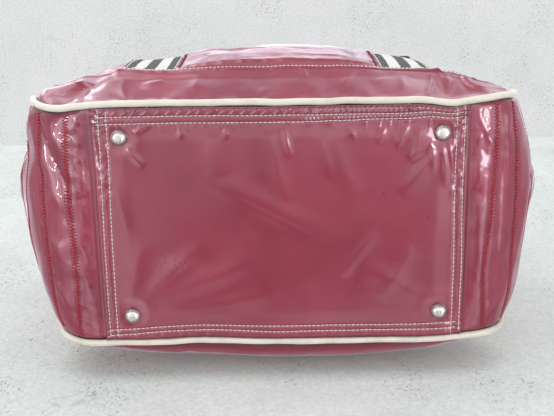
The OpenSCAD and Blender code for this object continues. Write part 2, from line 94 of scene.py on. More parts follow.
LINK_W, LINK_T, TAB_T = 8.0, 1.5, 2.4

HALF_W, HALF_WEB = BODY_W / 2, WEB_W / 2
SLOPE = math.asin((BASE_D - TOP_D) / 2 / BODY_H)
SIN_S, COS_S = math.sin(SLOPE), math.cos(SLOPE)
LOW_X, TOP_X = HALF_W - LOW_R, HALF_W - TOP_R
HIGH_S = BODY_H - TOP_R
ZIP_Z = PIPE_Z + BODY_H * COS_S
FACE_OUT = PIPE_Z - STUD_H - SHELL_T
FACE_IN = FACE_OUT - SHELL_T
EDGE_IN = PIPE_R + 0.1
LAYER_0 = FACE_OUT + SEWN_GAP
STRAP_OUT = LAYER_0 + WEB_T
POCKET_W = 2 * STRAP_X - WEB_W - 2 * SEWN_GAP
HALF_POCKET = POCKET_W / 2
TURN_OUT = STRAP_OUT + SEWN_GAP + WEB_T / 2
FLAP_X = TOP_X - SEWN_GAP - END_LEN
FLAP_TURN_Y = TOP_D / 2 - PIPE_R - 0.15 - SHELL_T / 2
TAPE_MID = FACE_IN - TAPE_T / 2
FLOOR_OFF = PIPE_Z - (WASHER_TOP + SEWN_GAP)
LOW_ARC, TOP_ARC = LOW_R * math.pi / 2, TOP_R * math.pi / 2
SIDE_RUN = BODY_H - LOW_R - TOP_R
PATH_LEN = LOW_ARC + SIDE_RUN + TOP_ARC
WHITE_R, STITCH_PITCH, BLEND_LEN = 0.36, 3.2, 30.0
SIDES, FACES, HALVES = ("left", "right"), ("front", "back"), (("left", -1), ("right", 1))

# ---------- Noise and small helpers ----------


@functools.cache
def table(seed):
    return np.random.default_rng(seed).uniform(-1, 1, (256, 256))


def noise2(x, y, seed):
    """Smooth noise between -1 and 1, with one bump per unit."""
    x, y = np.broadcast_arrays(np.asarray(x, float), np.asarray(y, float))
    i, j = np.floor(x).astype(int), np.floor(y).astype(int)
    u, v = (t * t * t * (t * (6 * t - 15) + 10) for t in (x - i, y - j))
    t = table(seed)
    i0, i1, j0, j1 = i & 255, (i + 1) & 255, j & 255, (j + 1) & 255
    low = t[i0, j0] * (1 - u) + t[i1, j0] * u
    high = t[i0, j1] * (1 - u) + t[i1, j1] * u
    return low * (1 - v) + high * v


def fbm(x, y, seed, octaves=3):
    return sum(noise2(x * 2**k, y * 2**k, seed + k) / 2**k for k in range(octaves))


def step(a, b, x):
    """Smooth step from 0 at a to 1 at b."""
    t = np.clip((np.asarray(x, float) - a) / (b - a), 0, 1)
    return t * t * (3 - 2 * t)


def until(a, b, x):
    """Smooth step from 1 at a to 0 at b."""
    return 1 - step(a, b, x)


def bell(d, width):
    return np.exp(-((d / width) ** 2))


def dome(share):
    """A quarter circle's fall from 1 at share 0 to 0 at share 1."""
    return np.sqrt(np.maximum(0, 1 - share**2))


def rounded(value, start, width):
    """A quarter circle's fall that starts at a value and takes that width."""
    return dome(np.clip((value - start) / width, 0, 1))


def quarter(n):
    """n sines of angles from 0 to a right angle, and the fall of their cosines from 1."""
    a = np.linspace(0, np.pi / 2, n)
    return np.sin(a), 1 - np.cos(a)


def unit(v):
    return v / np.maximum(np.linalg.norm(v, axis=-1, keepdims=True), 1e-9)


def together(*fields):
    """Fields, stretched to each other's shape, as the last axis of one array."""
    return np.stack(np.broadcast_arrays(*fields), -1)


def lengths(points):
    """The distance along a line of points, at each of them."""
    return np.concatenate([[0], np.cumsum(np.linalg.norm(np.diff(points, axis=0), axis=1))])


def circle(n):
    """Cosines and sines of n even places round a circle."""
    a = np.linspace(0, 2 * np.pi, n, endpoint=False)
    return np.cos(a), np.sin(a)


def folds(x, y, lines, sharp, wander, seed):
    """Folds along lines, each (x0, y0, x1, y1, width, height, sharpness): crests that fade at both ends.

    Sharpness 1 is a crease and 2 a soft roll, and sharp is used where a line gives none.
    """
    for k, (x0, y0, x1, y1, width, height, *own) in enumerate(lines):
        long = math.hypot(x1 - x0, y1 - y0)
        ux, uy = (x1 - x0) / long, (y1 - y0) / long
        along = ((x - x0) * ux + (y - y0) * uy) / long
        off = (y - y0) * ux - (x - x0) * uy
        off = off + wander * noise2(along * long / 18, 0.5, seed + k + 40)
        fade = np.sin(np.pi * np.clip(along, 0, 1)) ** 0.7
        yield height * fade * np.exp(-((np.abs(off) / width) ** (own[0] if own else sharp)))


def spread(n, mix=0.7):
    """n + 1 places from -1 to 1, closer together near both ends, as a row."""
    t = np.linspace(-1, 1, n + 1)
    return (mix * np.sin(np.pi * t / 2) + (1 - mix) * t)[None, :]


def column(*parts):
    return np.concatenate(parts)[:, None]


# ---------- Meshes ----------


def make_mesh(name, co, faces, mat, uv=None, sharp=45):
    """An object from points in millimetres and lists of faces, with its UVs in millimetres too."""
    mesh = bpy.data.meshes.new(name)
    flat = np.concatenate([np.asarray(f, np.int32).ravel() for f in faces])
    sizes = np.concatenate([np.full(len(f), len(f[0]), np.int32) for f in faces if len(f)])
    mesh.vertices.add(len(co))
    mesh.vertices.foreach_set("co", (np.asarray(co, float) * MM).astype(np.float32).ravel())
    mesh.loops.add(len(flat))
    mesh.loops.foreach_set("vertex_index", flat)
    mesh.polygons.add(len(sizes))
    starts = np.concatenate([[0], np.cumsum(sizes)[:-1]]).astype(np.int32)
    mesh.polygons.foreach_set("loop_start", starts)
    mesh.polygons.foreach_set("use_smooth", np.full(len(sizes), True))
    mesh.update(calc_edges=True)
    mesh.validate()
    if uv is not None:
        layer = mesh.uv_layers.new(name="cloth")
        index = np.zeros(len(mesh.loops), np.int32)
        mesh.loops.foreach_get("vertex_index", index)
        layer.uv.foreach_set("vector", np.asarray(uv, np.float32)[index].ravel())
    if sharp:
        mesh.set_sharp_from_angle(angle=math.radians(sharp))
    mesh.materials.append(mat)
    obj = bpy.data.objects.new(name, mesh)
    bpy.context.scene.collection.objects.link(obj)
    return obj


def sheet_parts(outer, inner, keep=None):
    """Points and faces of a closed sheet between two grids of points, with the cells that keep leaves."""
    r, c = outer.shape[:2]
    n = r * c
    if keep is None:
        keep = np.ones((r - 1, c - 1), bool)
    index = np.arange(n).reshape(r, c)
    a, b, d, e = index[:-1, :-1], index[:-1, 1:], index[1:, 1:], index[1:, :-1]
    pad = np.pad(keep, 1)
    quads = [np.stack([a, b, d, e], -1)[keep], np.stack([a, e, d, b], -1)[keep] + n]
    beside = (pad[:-2, 1:-1], pad[1:-1, 2:], pad[2:, 1:-1], pad[1:-1, :-2])
    for p, q, other in zip((a, b, d, e), (b, d, e, a), beside):
        rim = keep & ~other
        p, q = p[rim], q[rim]
        quads.append(np.stack([q, p, p + n, q + n], -1))
    faces = np.concatenate(quads)
    co = np.concatenate([outer.reshape(-1, 3), inner.reshape(-1, 3)])
    corner, one, _, other = co[quads[0].T]
    if np.sum(np.cross(one - corner, other - corner) * (corner - co[quads[0][:, 0] + n])) < 0:
        faces = faces[:, ::-1]
    return co, faces


def sheet(name, outer, inner, mat, u=0.0, v=0.0, keep=None, **values):
    """A closed sheet with grid UVs. values are point attributes over the same grid."""
    co, faces = sheet_parts(outer, inner, keep)
    shape = outer.shape[:2]
    fields = [np.broadcast_to(field, shape).astype(float).ravel() for field in (u, v, *values.values())]
    used, back = np.unique(faces, return_inverse=True)
    u, v, *rest = (field[used % field.size] for field in fields)
    obj = make_mesh(name, co[used], [back.reshape(faces.shape)], mat, np.stack([u, v], -1))
    for key, field in zip(values, rest):
        made = obj.data.attributes.new(key, "FLOAT", "POINT")
        made.data.foreach_set("value", field.astype(np.float32))
    return obj


def tube_parts(rings, closed=False):
    """Points and faces of a tube through rings of points (n, k, 3)."""
    n, k = rings.shape[:2]
    i = np.arange(n if closed else n - 1)[:, None]
    j = np.arange(k)[None, :]
    nxt = (i + 1) % n
    faces = [together(i * k + j, i * k + (j + 1) % k, nxt * k + (j + 1) % k, nxt * k + j).reshape(-1, 4)]
    if not closed:
        faces += [[list(range(k))[::-1]], [[(n - 1) * k + m for m in range(k)]]]
    return rings.reshape(-1, 3), faces


def join(name, parts, mat):
    """One object from several (points, faces) lists."""
    co, faces, base = [], {}, 0
    for points, groups in parts:
        co.append(points)
        for g in groups:
            g = np.asarray(g, np.int64)
            if g.size:
                faces.setdefault(g.shape[1], []).append(g + base)
        base += len(points)
    return make_mesh(name, np.concatenate(co), [np.concatenate(v) for v in faces.values()], mat)


def stitch_parts(starts, ends, up, radius=WHITE_R, rise=0.8, sides=6):
    """Threads from each start to its end: each comes out of the cloth, arches over it and goes back in."""
    t = np.array([0.0, 0.08, 0.25, 0.5, 0.75, 0.92, 1.0])[:, None]
    height = radius * np.array([-1.4, 0.0, 0.8, 1.0, 0.8, 0.0, -1.4])[:, None] * rise
    width = radius * np.array([0.6, 0.9, 1.0, 1.0, 1.0, 0.9, 0.6])[:, None, None]
    along = unit(ends - starts)
    up = unit(up - along * np.sum(up * along, -1, keepdims=True))
    side = np.cross(up, along)[:, None, None]
    up = up[:, None]
    centre = starts[:, None] * (1 - t) + ends[:, None] * t + up * height
    cos, sin = (v[:, None] for v in circle(sides))
    co = centre[:, :, None] + (cos * side + 0.85 * sin * up[:, None]) * width
    n, r, k = co.shape[:3]
    base = (np.arange(n) * r * k)[:, None, None]
    i = np.arange(r - 1)[None, :, None] * k + base
    j = np.arange(k)[None, None, :]
    quads = together(i + j, i + (j + 1) % k, i + k + (j + 1) % k, i + k + j).reshape(-1, 4)
    base, j = base[:, 0], np.arange(k)
    return co.reshape(-1, 3), [quads, np.concatenate([base + j[::-1], base + (r - 1) * k + j])]


# ---------- Materials ----------


class Value:
    """What a node gives. Arithmetic on it adds Math nodes."""

    def __init__(self, tree, socket):
        self.tree, self.socket = tree, socket

    def maths(self, operation, other=0.0, first=None):
        return self.tree.value("Math", {0: self if first is None else first, 1: other}, operation=operation)

    def __add__(self, other):
        return self.maths("ADD", other)

    def plus_to(self, other):
        return self.maths("ADD", self, other)

    def __sub__(self, other):
        return self.maths("SUBTRACT", other)

    def __rsub__(self, other):
        return self.maths("SUBTRACT", self, other)

    def __mul__(self, other):
        return self.maths("MULTIPLY", other)

    def __truediv__(self, other):
        return self.maths("DIVIDE", other)

    def __abs__(self):
        return self.maths("ABSOLUTE")

    def at_least(self, other):
        return self.maths("MAXIMUM", other)

    def ramp(self, low, high, to_low=0.0, to_high=1.0):
        """This value mapped so that low gives 0 and high gives 1, held at both ends."""
        limits = {"From Min": low, "From Max": high, "To Min": to_low, "To Max": to_high}
        return self.tree.value("MapRange", {"Value": self, **limits})

    def soft(self, low, high):
        """The same with a smooth step."""
        limits = {"From Min": low, "From Max": high}
        return self.tree.value("MapRange", {"Value": self, **limits}, interpolation_type="SMOOTHSTEP")

    def within(self, low, full_low, full_high, high):
        """1 between the two full places, and 0 past the outer two."""
        return self.soft(low, full_low) * self.soft(high, full_high)


class Tree:
    """The emptied node tree of a new material or world."""

    def __init__(self, owner):
        owner.use_nodes = True
        self.owner, self.tree = owner, owner.node_tree
        self.tree.nodes.clear()

    def node(self, kind, inputs, **settings):
        made = self.tree.nodes.new("ShaderNode" + kind)
        for key, value in settings.items():
            setattr(made, key, value)
        for key, value in inputs.items():
            if isinstance(value, Value):
                self.tree.links.new(value.socket, made.inputs[key])
            else:
                made.inputs[key].default_value = value
        return made

    def value(self, kind, inputs={}, output=0, **settings):
        return Value(self, self.node(kind, inputs, **settings).outputs[output])

    def place(self):
        return self.value("TexCoord", output="Object")

    def mapped(self, place, scale, rotation=(0.0, 0.0, 0.0)):
        return self.value("Mapping", {"Vector": place, "Scale": scale, "Rotation": rotation})

    def cloud(self, place, scale, detail=2.0, rough=0.5, output=0):
        inputs = {"Vector": place, "Scale": scale, "Detail": detail, "Roughness": rough}
        return self.value("TexNoise", inputs, output)

    def mix(self, factor, a, b):
        return self.value("Mix", {0: factor, 6: a, 7: b}, 2, data_type="RGBA")

    def blend(self, factor, a, b):
        return self.value("MixShader", {0: factor, 1: a, 2: b})

    def bands(self, uv, pitch, distortion, detail, detail_scale, direction):
        """Waves across UVs in millimetres, at that pitch."""
        inputs = {"Vector": uv, "Scale": 0.31416 / pitch, "Distortion": distortion, "Detail": detail}
        inputs["Detail Scale"] = detail_scale
        return self.value("TexWave", inputs, "Fac", wave_type="BANDS", bands_direction=direction)

    def bump(self, height, strength, distance, under=None):
        inputs = {"Height": height, "Strength": strength, "Distance": distance}
        return self.value("Bump", inputs if under is None else inputs | {"Normal": under})

    def attribute(self, name):
        return self.value("Attribute", output="Fac", attribute_name=name)

    def done(self, surface):
        kind = "World" if isinstance(self.owner, bpy.types.World) else "Material"
        self.node("Output" + kind, {0: surface})
        return self.owner

    def principled(self, **inputs):
        """The finished material. Inputs are the Principled shader's own, with _ for a space."""
        return self.done(self.value("BsdfPrincipled", {k.replace("_", " "): v for k, v in inputs.items()}))


def material_tree(name):
    return Tree(bpy.data.materials.new(name))


def rgb(r, g, b):
    """A colour given as it looks on screen, from 0 to 255."""
    shares = (x / 255 for x in (r, g, b))
    return tuple(x / 12.92 if x <= 0.04045 else ((x + 0.055) / 1.055) ** 2.4 for x in shares) + (1.0,)


def enamel(name, deep, bright, worn=False):
    """Cloth under a thick glossy coating: mottled colour, painted shade in its grooves and folds, an uneven
    skin, and fine scuffs.
    """
    tree = material_tree(name)
    place = tree.place()
    colour = tree.mix(tree.cloud(place, 17.0, 3.0, 0.55).ramp(0.36, 0.66), deep, bright)
    speck = tree.cloud(place, 900.0, 2.0, 0.6).ramp(0.62, 0.78)
    colour = tree.mix(speck * 0.14, colour, rgb(196, 118, 128))
    # Painted shade: an attribute darkens the cloth beside the piping and hems, along stitch rows and folds,
    # and in pucker valleys
    colour = tree.mix(tree.attribute("seam") * 0.8, colour, rgb(46, 8, 18))
    rough = tree.cloud(place, 46.0, 3.0).ramp(0.3, 0.7, 0.26, 0.44)
    if worn:
        scratch = tree.mapped(place, (1.0, 3.2, 1.0), (0.0, 0.0, 0.5))
        amount = tree.attribute("scuff") * tree.cloud(scratch, 520.0, 4.0, 0.75).ramp(0.5, 0.66)
        colour = tree.mix(amount * 0.6, colour, rgb(196, 138, 146))
        rough = rough + amount * 0.3
    fine = tree.bump(tree.cloud(place, 1300.0, 1.0), 0.25, 0.00003)
    skin_bump = tree.bump(tree.cloud(place, 150.0, 2.0), 0.35, 0.00012, fine)
    return tree.principled(
        Base_Color=colour, Roughness=rough, Normal=skin_bump, IOR=1.5,
        Coat_Weight=1.0, Coat_Roughness=0.045, Coat_IOR=1.5,
    )


def woven(name, colour, other, pitch, rough, strength, sheen):
    """A plain weave over UVs in millimetres: threads across and along at that pitch."""
    tree = material_tree(name)
    uv = tree.value("UVMap", uv_map="cloth")
    weave = tree.bands(uv, pitch, 0.3, 1.0, 2.0, "X") * tree.bands(uv, pitch, 0.3, 1.0, 2.0, "Y")
    base = tree.mix(tree.cloud(tree.place(), 60.0, 3.0).ramp(0.3, 0.7), colour, other)
    # Painted shade: near-black mixed in between the threads
    base = tree.mix(weave.ramp(0.0, 0.5), tree.mix(0.45, base, rgb(8, 8, 9)), base)
    return tree.principled(
        Base_Color=base, Roughness=rough, Specular_IOR_Level=0.3, Sheen_Weight=sheen,
        Normal=tree.bump(weave, strength, 0.0002),
    )


def striped(name):
    """Webbing with five stripes of equal width across its UV, and a ribbed, slightly fuzzy weave."""
    tree = material_tree(name)
    uv = tree.value("UVMap", uv_map="cloth")
    fuzz = (tree.cloud(uv, 0.8, 2.0, 0.7) - 0.5) * 1.9
    stripe = (tree.value("SeparateXYZ", {0: uv}) + fuzz) / (WEB_W / 5)
    white = (stripe * math.pi).maths("SINE").ramp(0.12, -0.12)
    # Ribs run across the webbing, with each yarn's twist on them
    rib = tree.bands(uv, 1.5, 1.2, 2.0, 1.6, "Y")
    yarn = tree.bands(uv, 0.9, 2.5, 2.0, 1.3, "DIAGONAL")
    weave = rib * 0.6 + yarn * 0.4
    heather = tree.cloud(uv, 1.0, 3.0, 0.8).ramp(0.47, 0.56)
    dark = tree.mix(heather, rgb(44, 48, 49), rgb(136, 142, 142))
    # Painted shade in the grooves between the ribs, and painted highlight on the ribs of the white stripes
    dark = tree.mix(weave.ramp(0.1, 0.6), tree.mix(0.5, dark, rgb(20, 22, 23)), dark)
    pale = tree.mix(weave.ramp(0.0, 0.5), rgb(214, 214, 210), rgb(247, 246, 243))
    return tree.principled(
        Base_Color=tree.mix(white, dark, pale), Roughness=0.86, Specular_IOR_Level=0.25, Sheen_Weight=0.12,
        Sheen_Roughness=0.5, Normal=tree.bump(weave + heather * 0.5, 0.8, 0.0004),
    )


def mottled(name, colour, other, patches, low, high, share, fine, strength, depth, **settings):
    """Two colours in patches of noise, over fine bumps. patches and fine are scales and details of noise."""
    tree = material_tree(name)
    place = tree.place()
    patch = tree.cloud(place, *patches).ramp(low, high)
    return tree.principled(
        Base_Color=tree.mix(patch if share == 1 else patch * share, colour, other),
        Normal=tree.bump(tree.cloud(place, *fine), strength, depth), **settings,
    )


def thread(name, colour, other):
    looks = {"Roughness": 0.62, "Sheen_Weight": 0.2}
    return mottled(name, colour, other, (700.0, 3.0), 0.35, 0.65, 1, (2600.0, 1.0), 0.5, 0.0001, **looks)


def vinyl(name, colour, grime):
    """Smooth soft plastic round a cord: faint grime and fine creases across it."""
    looks = {"Roughness": 0.42, "Coat_Weight": 0.25, "Coat_Roughness": 0.25}
    return mottled(name, colour, grime, (55.0, 4.0, 0.6), 0.42, 0.75, 0.6, (420.0, 3.0), 0.4, 0.00012, **looks)


def metal(name, colour, dark, rough, scratch):
    tree = material_tree(name)
    place = tree.place()
    lines = tree.mapped(place, (1.0, 7.0, 2.0), (0.3, 0.2, 0.7))
    fine = tree.cloud(lines, 900.0, 3.0, 0.7).ramp(0.48, 0.72)
    spots = tree.cloud(place, 520.0, 4.0, 0.65).ramp(0.5, 0.72)
    return tree.principled(
        Base_Color=tree.mix(spots * scratch, colour, dark), Metallic=1.0,
        Roughness=fine.ramp(0.0, 1.0, rough, rough + 0.25), Normal=tree.bump(fine, 0.35, 0.00005),
    )


MATS = {
    "enamel": enamel("enamel", rgb(132, 24, 49), rgb(148, 36, 61)),
    "enamel_base": enamel("enamel_base", rgb(132, 25, 48), rgb(144, 33, 57), worn=True),
    "piping": vinyl("piping", rgb(232, 226, 212), rgb(196, 186, 168)),
    "webbing": striped("webbing"),
    "white_thread": thread("white_thread", rgb(255, 250, 243), rgb(240, 226, 218)),
    "red_thread": thread("red_thread", rgb(188, 40, 62), rgb(136, 18, 40)),
    "dark_thread": thread("dark_thread", rgb(128, 26, 44), rgb(104, 18, 34)),
    # Painted shade: the near-black colour of the needle holes
    "needle_hole_shade": thread("needle_hole_shade", rgb(40, 8, 14), rgb(58, 12, 20)),
    "lining": woven("lining", rgb(74, 72, 74), rgb(60, 58, 61), 0.8, 0.75, 0.5, 0.2),
    "tape": woven("tape", rgb(112, 24, 42), rgb(96, 18, 34), 0.7, 0.8, 0.6, 0.2),
    "nickel": metal("nickel", rgb(192, 186, 174), rgb(96, 87, 74), 0.26, 0.7),
    "zip_metal": metal("zip_metal", rgb(196, 192, 184), rgb(128, 122, 112), 0.26, 0.35),
    "board": mottled(
        "board", rgb(24, 24, 25), rgb(44, 43, 42), (300.0, 4.0, 0.7), 0.35, 0.65, 1, (700.0, 3.0), 0.4, 0.0002,
        Roughness=0.7,
    ),
}
CLOTH, WHITE = MATS["enamel"], MATS["white_thread"]

# ---------- Shapes of the bag's skin ----------


def swell(d, reach, k=0.5):
    t = np.clip(np.asarray(d, float) / reach, 0, 1)
    return (1 - (1 - t) ** 2) ** k


def half_at(s, e=EDGE_IN):
    """Half a face panel's width at height s, less an edge of e."""
    s = np.asarray(s, float)
    low = LOW_X + np.sqrt(np.maximum(0, (LOW_R - e) ** 2 - (LOW_R - s) ** 2))
    top = TOP_X + np.sqrt(np.maximum(0, (TOP_R - e) ** 2 - (s - BODY_H + TOP_R) ** 2))
    return np.where(s < LOW_R, low, np.where(s > HIGH_S, top, HALF_W - e))


def face_swell(x, s, side, e=EDGE_IN):
    """How far a face panel stands out at a place."""
    upward = BULGE[side] * swell(s - e, RISE[side], CURVE[side]) * swell(BODY_H - e - s, TOP_FALL)
    return upward * dome(x / half_at(s, e))


def settle(points):
    """How the soft body sits: its lower edges drawn in a little, and its lower corners pushed about."""
    x, y, z = points[..., 0], points[..., 1], points[..., 2]
    past, left = np.abs(x) - LOW_X, LOW_R - (z - PIPE_Z)
    angle = np.arctan2(np.maximum(past, 0), np.maximum(left, 1e-6))
    a = np.where(past <= 0, np.abs(x), LOW_X + LOW_R * angle + np.maximum(-left, 0))
    fade = until(225, 300, a)
    a = a * np.sign(x)
    right = step(-20, 20, x)
    front = 1.5 + (1 - right) * (2.8 * bell(a + 160, 16) - 7.0 * bell(a + 206, 17))
    front = front + right * (2.6 * bell(a - 125, 13) - 2.2 * bell(a - 168, 14) - 5.2 * bell(a - 206, 20))
    back = -1.9 - 1.9 * bell(a + 62, 34) - bell(a + 135, 22) - 2.6 * bell(a - 152, 24)
    wave = 0.5 * noise2(x / 60, 1.5, 7)
    low = until(20, 70, z)
    dy = step(58, 90, -y) * (front + wave) * fade * low + step(58, 90, y) * (back + wave) * fade * low
    dx = -8.0 * (step(36, 86, -y) * bell(a + 204, 42) * until(90, 150, z))
    return points + np.stack([dx, dy, np.zeros_like(dx)], -1)


def face_xyz(side, x, s, o):
    """The point o out of the piping's plane at a place on a face panel."""
    y = -BASE_D / 2 + s * SIN_S - o * COS_S
    return settle(together(x, y if side == "front" else -y, PIPE_Z + s * COS_S + o * SIN_S).astype(float))


def gusset_station(p):
    """x, height up the slope and outward direction at a distance p round the gusset from the base."""
    p = np.asarray(p, float)
    low = np.clip(p / LOW_R, 0, np.pi / 2)
    top = np.clip((p - LOW_ARC - SIDE_RUN) / TOP_R, 0, np.pi / 2)
    x = LOW_X + np.minimum(p, 0) + LOW_R * np.sin(low) - TOP_R * (1 - np.cos(top))
    s = LOW_R * (1 - np.cos(low)) + np.clip(p - LOW_ARC, 0, SIDE_RUN) + TOP_R * np.sin(top)
    above = p > LOW_ARC + SIDE_RUN
    return x, s, np.where(above, np.cos(top), np.sin(low)), np.where(above, np.sin(top), -np.cos(low))


def gusset_raw(side, p, q, off, e=EDGE_IN):
    """The gusset's smooth skin, before its folds."""
    x, s, nx, ns = gusset_station(p)
    share = np.maximum(np.asarray(p, float), 0) / PATH_LEN
    swelling = np.maximum(0, np.sin(np.pi * share)) ** np.where(share < 0.5, 1.2, 2.0)
    out = off + SIDE_BULGE * swelling * np.maximum(0, 1 - q * q) ** 0.9
    px = x + nx * out
    y = q * (BASE_D / 2 - s * SIN_S - e)
    return settle(together(px if side == "right" else -px, y, PIPE_Z + COS_S * (s + ns * out)).astype(float))


def sample(grid, u, v):
    """Smooth lookup in a (rows, cols, 3) grid at shares u across and v along."""
    rows, cols = grid.shape[:2]
    u, v = np.broadcast_arrays(np.asarray(u, float), np.asarray(v, float))
    x, y = np.clip(u, 0, 1) * (cols - 1), np.clip(v, 0, 1) * (rows - 1)
    i, j = np.minimum(x.astype(int), cols - 2), np.minimum(y.astype(int), rows - 2)

    def weights(t):
        return (
            ((-t + 2) * t - 1) * t / 2, ((3 * t - 5) * t * t + 2) / 2,
            ((-3 * t + 4) * t + 1) * t / 2, (t - 1) * t * t / 2,
        )

    wx, wy = weights(x - i), weights(y - j)
    total = 0
    for a in range(4):
        row = np.clip(j + a - 1, 0, rows - 1)
        for b in range(4):
            col = np.clip(i + b - 1, 0, cols - 1)
            total = total + grid[row, col] * (wy[a] * wx[b])[..., None]
    return total


def drape(grid, pinned, growth, pressure, cap, bending, stiff=18.0, frames=22):
    """How far each point of a grid moves when it settles into folds, as cloth too large for its seams."""
    r, c = grid.shape[:2]
    index = np.arange(r * c).reshape(r, c)
    faces = np.stack([index[:-1, :-1], index[:-1, 1:], index[1:, 1:], index[1:, :-1]], -1).reshape(-1, 4)
    obj = make_mesh("draping", grid.reshape(-1, 3), [faces], CLOTH, sharp=0)
    group = obj.vertex_groups.new(name="pin")
    for w in np.unique(np.round(pinned, 2)):
        if w > 0:
            group.add(np.flatnonzero(np.round(pinned.ravel(), 2) == w).tolist(), float(w), "REPLACE")
    cloth = obj.modifiers.new("Cloth", "CLOTH")
    wanted = dict(
        quality=6, mass=0.25, tension_stiffness=stiff, compression_stiffness=stiff, shear_stiffness=stiff / 3,
        bending_stiffness=bending, air_damping=2.0, shrink_min=-growth, vertex_group_mass="pin",
        pin_stiffness=1.0, use_pressure=True, uniform_pressure_force=pressure,
    )
    for key, value in wanted.items():
        setattr(cloth.settings, key, value)
    cloth.settings.effector_weights.gravity = 0.0
    cloth.collision_settings.use_collision = False
    scene = bpy.context.scene
    cloth.point_cache.frame_start, cloth.point_cache.frame_end = 1, frames
    for f in range(1, frames + 1):
        scene.frame_set(f)
    done = obj.evaluated_get(bpy.context.evaluated_depsgraph_get()).to_mesh()
    co = np.zeros(len(done.vertices) * 3, np.float32)
    done.vertices.foreach_get("co", co)
    moved = co.reshape(r, c, 3).astype(float) / MM - grid
    scene.frame_set(1)
    bpy.data.objects.remove(obj)
    length = np.linalg.norm(moved, axis=-1, keepdims=True)
    return moved * np.tanh(length / cap) * cap / np.maximum(length, 1e-6)


def blurred(field, cells):
    """A field averaged twice over that many cells both ways."""
    for axis in (0, 1, 0, 1):
        pad = [(0, 0), (0, 0)]
        pad[axis] = (cells, cells)
        sums = np.cumsum(np.pad(field, pad, "edge"), axis)
        sums = np.concatenate([np.zeros_like(np.take(sums, [0], axis)), sums], axis)
        n = field.shape[axis]
        high = np.take(sums, np.arange(n) + 2 * cells + 1, axis)
        field = (high - np.take(sums, np.arange(n), axis)) / (2 * cells + 1)
    return field


def settled_folds(grid, out, start, held, cells, sink, **cloth):
    """The folds that draped cloth settles into from a start, less its overall outward push."""
    start = out * start[..., None]
    moved = drape(grid + start, held, **cloth) + start
    return moved - out * (blurred(np.sum(moved * out, -1), cells) + sink)[..., None]


def rim_weights(r, c):
    """Full hold on a grid's border, easing over the cells next to it."""
    i, j = (np.minimum(np.arange(n), np.arange(n)[::-1]) for n in (r, c))
    near = np.minimum(i[:, None], j[None, :])
    return np.where(near == 0, 1.0, np.where(near < 2, 0.35, 0.0))


def gusset_folds(side, seed):
    p, q = np.linspace(-2, PATH_LEN, 84)[:, None], np.linspace(-1, 1, 50)[None, :]
    grid = gusset_raw(side, p, q, FACE_OUT)
    out = unit(gusset_raw(side, p, q, FACE_OUT + 1) - grid)
    start = 2.2 * fbm(p / 46 + 3, q * 2.2, seed) * (1 - q**4) * np.sin(np.pi * np.clip(p / PATH_LEN, 0, 1))
    held = rim_weights(84, 50)
    cloth = {"growth": 0.03, "pressure": 0.4, "cap": 6.0, "bending": 5.0, "stiff": 25.0}
    return settled_folds(grid, out, start, held, 6, 0.6, **cloth)


def face_folds(side, seed):
    s, t = np.linspace(EDGE_IN, BODY_H - EDGE_IN, 70)[:, None], np.linspace(-1, 1, 92)[None, :]
    x = t * half_at(s)
    grid = face_xyz(side, x, s, FACE_OUT + face_swell(x, s, side))
    out = unit(face_xyz(side, x, s, FACE_OUT + 1) - face_xyz(side, x, s, FACE_OUT))
    start = 1.2 * fbm(x / 60, s / 50, seed) * (1 - t**4)
    over_strap = step(BAND_H, BAND_H + 8, s) * until(STRAP_TOP, STRAP_TOP + 10, s)
    under_strap = bell(np.abs(x) - STRAP_X, WEB_W * 0.5) * over_strap
    held = np.maximum(rim_weights(70, 92), np.round(0.5 * under_strap, 1))
    moved = settled_folds(grid, out, start, held, 7, 0.3, growth=0.012, pressure=0.2, cap=3.5, bending=3.0)
    return moved * (1 - 0.7 * under_strap)[..., None]


FOLDS = {side: gusset_folds(side, seed) for side, seed in (("left", 11), ("right", 23))}
FOLDS |= {side: face_folds(side, seed) for side, seed in (("front", 31), ("back", 47))}

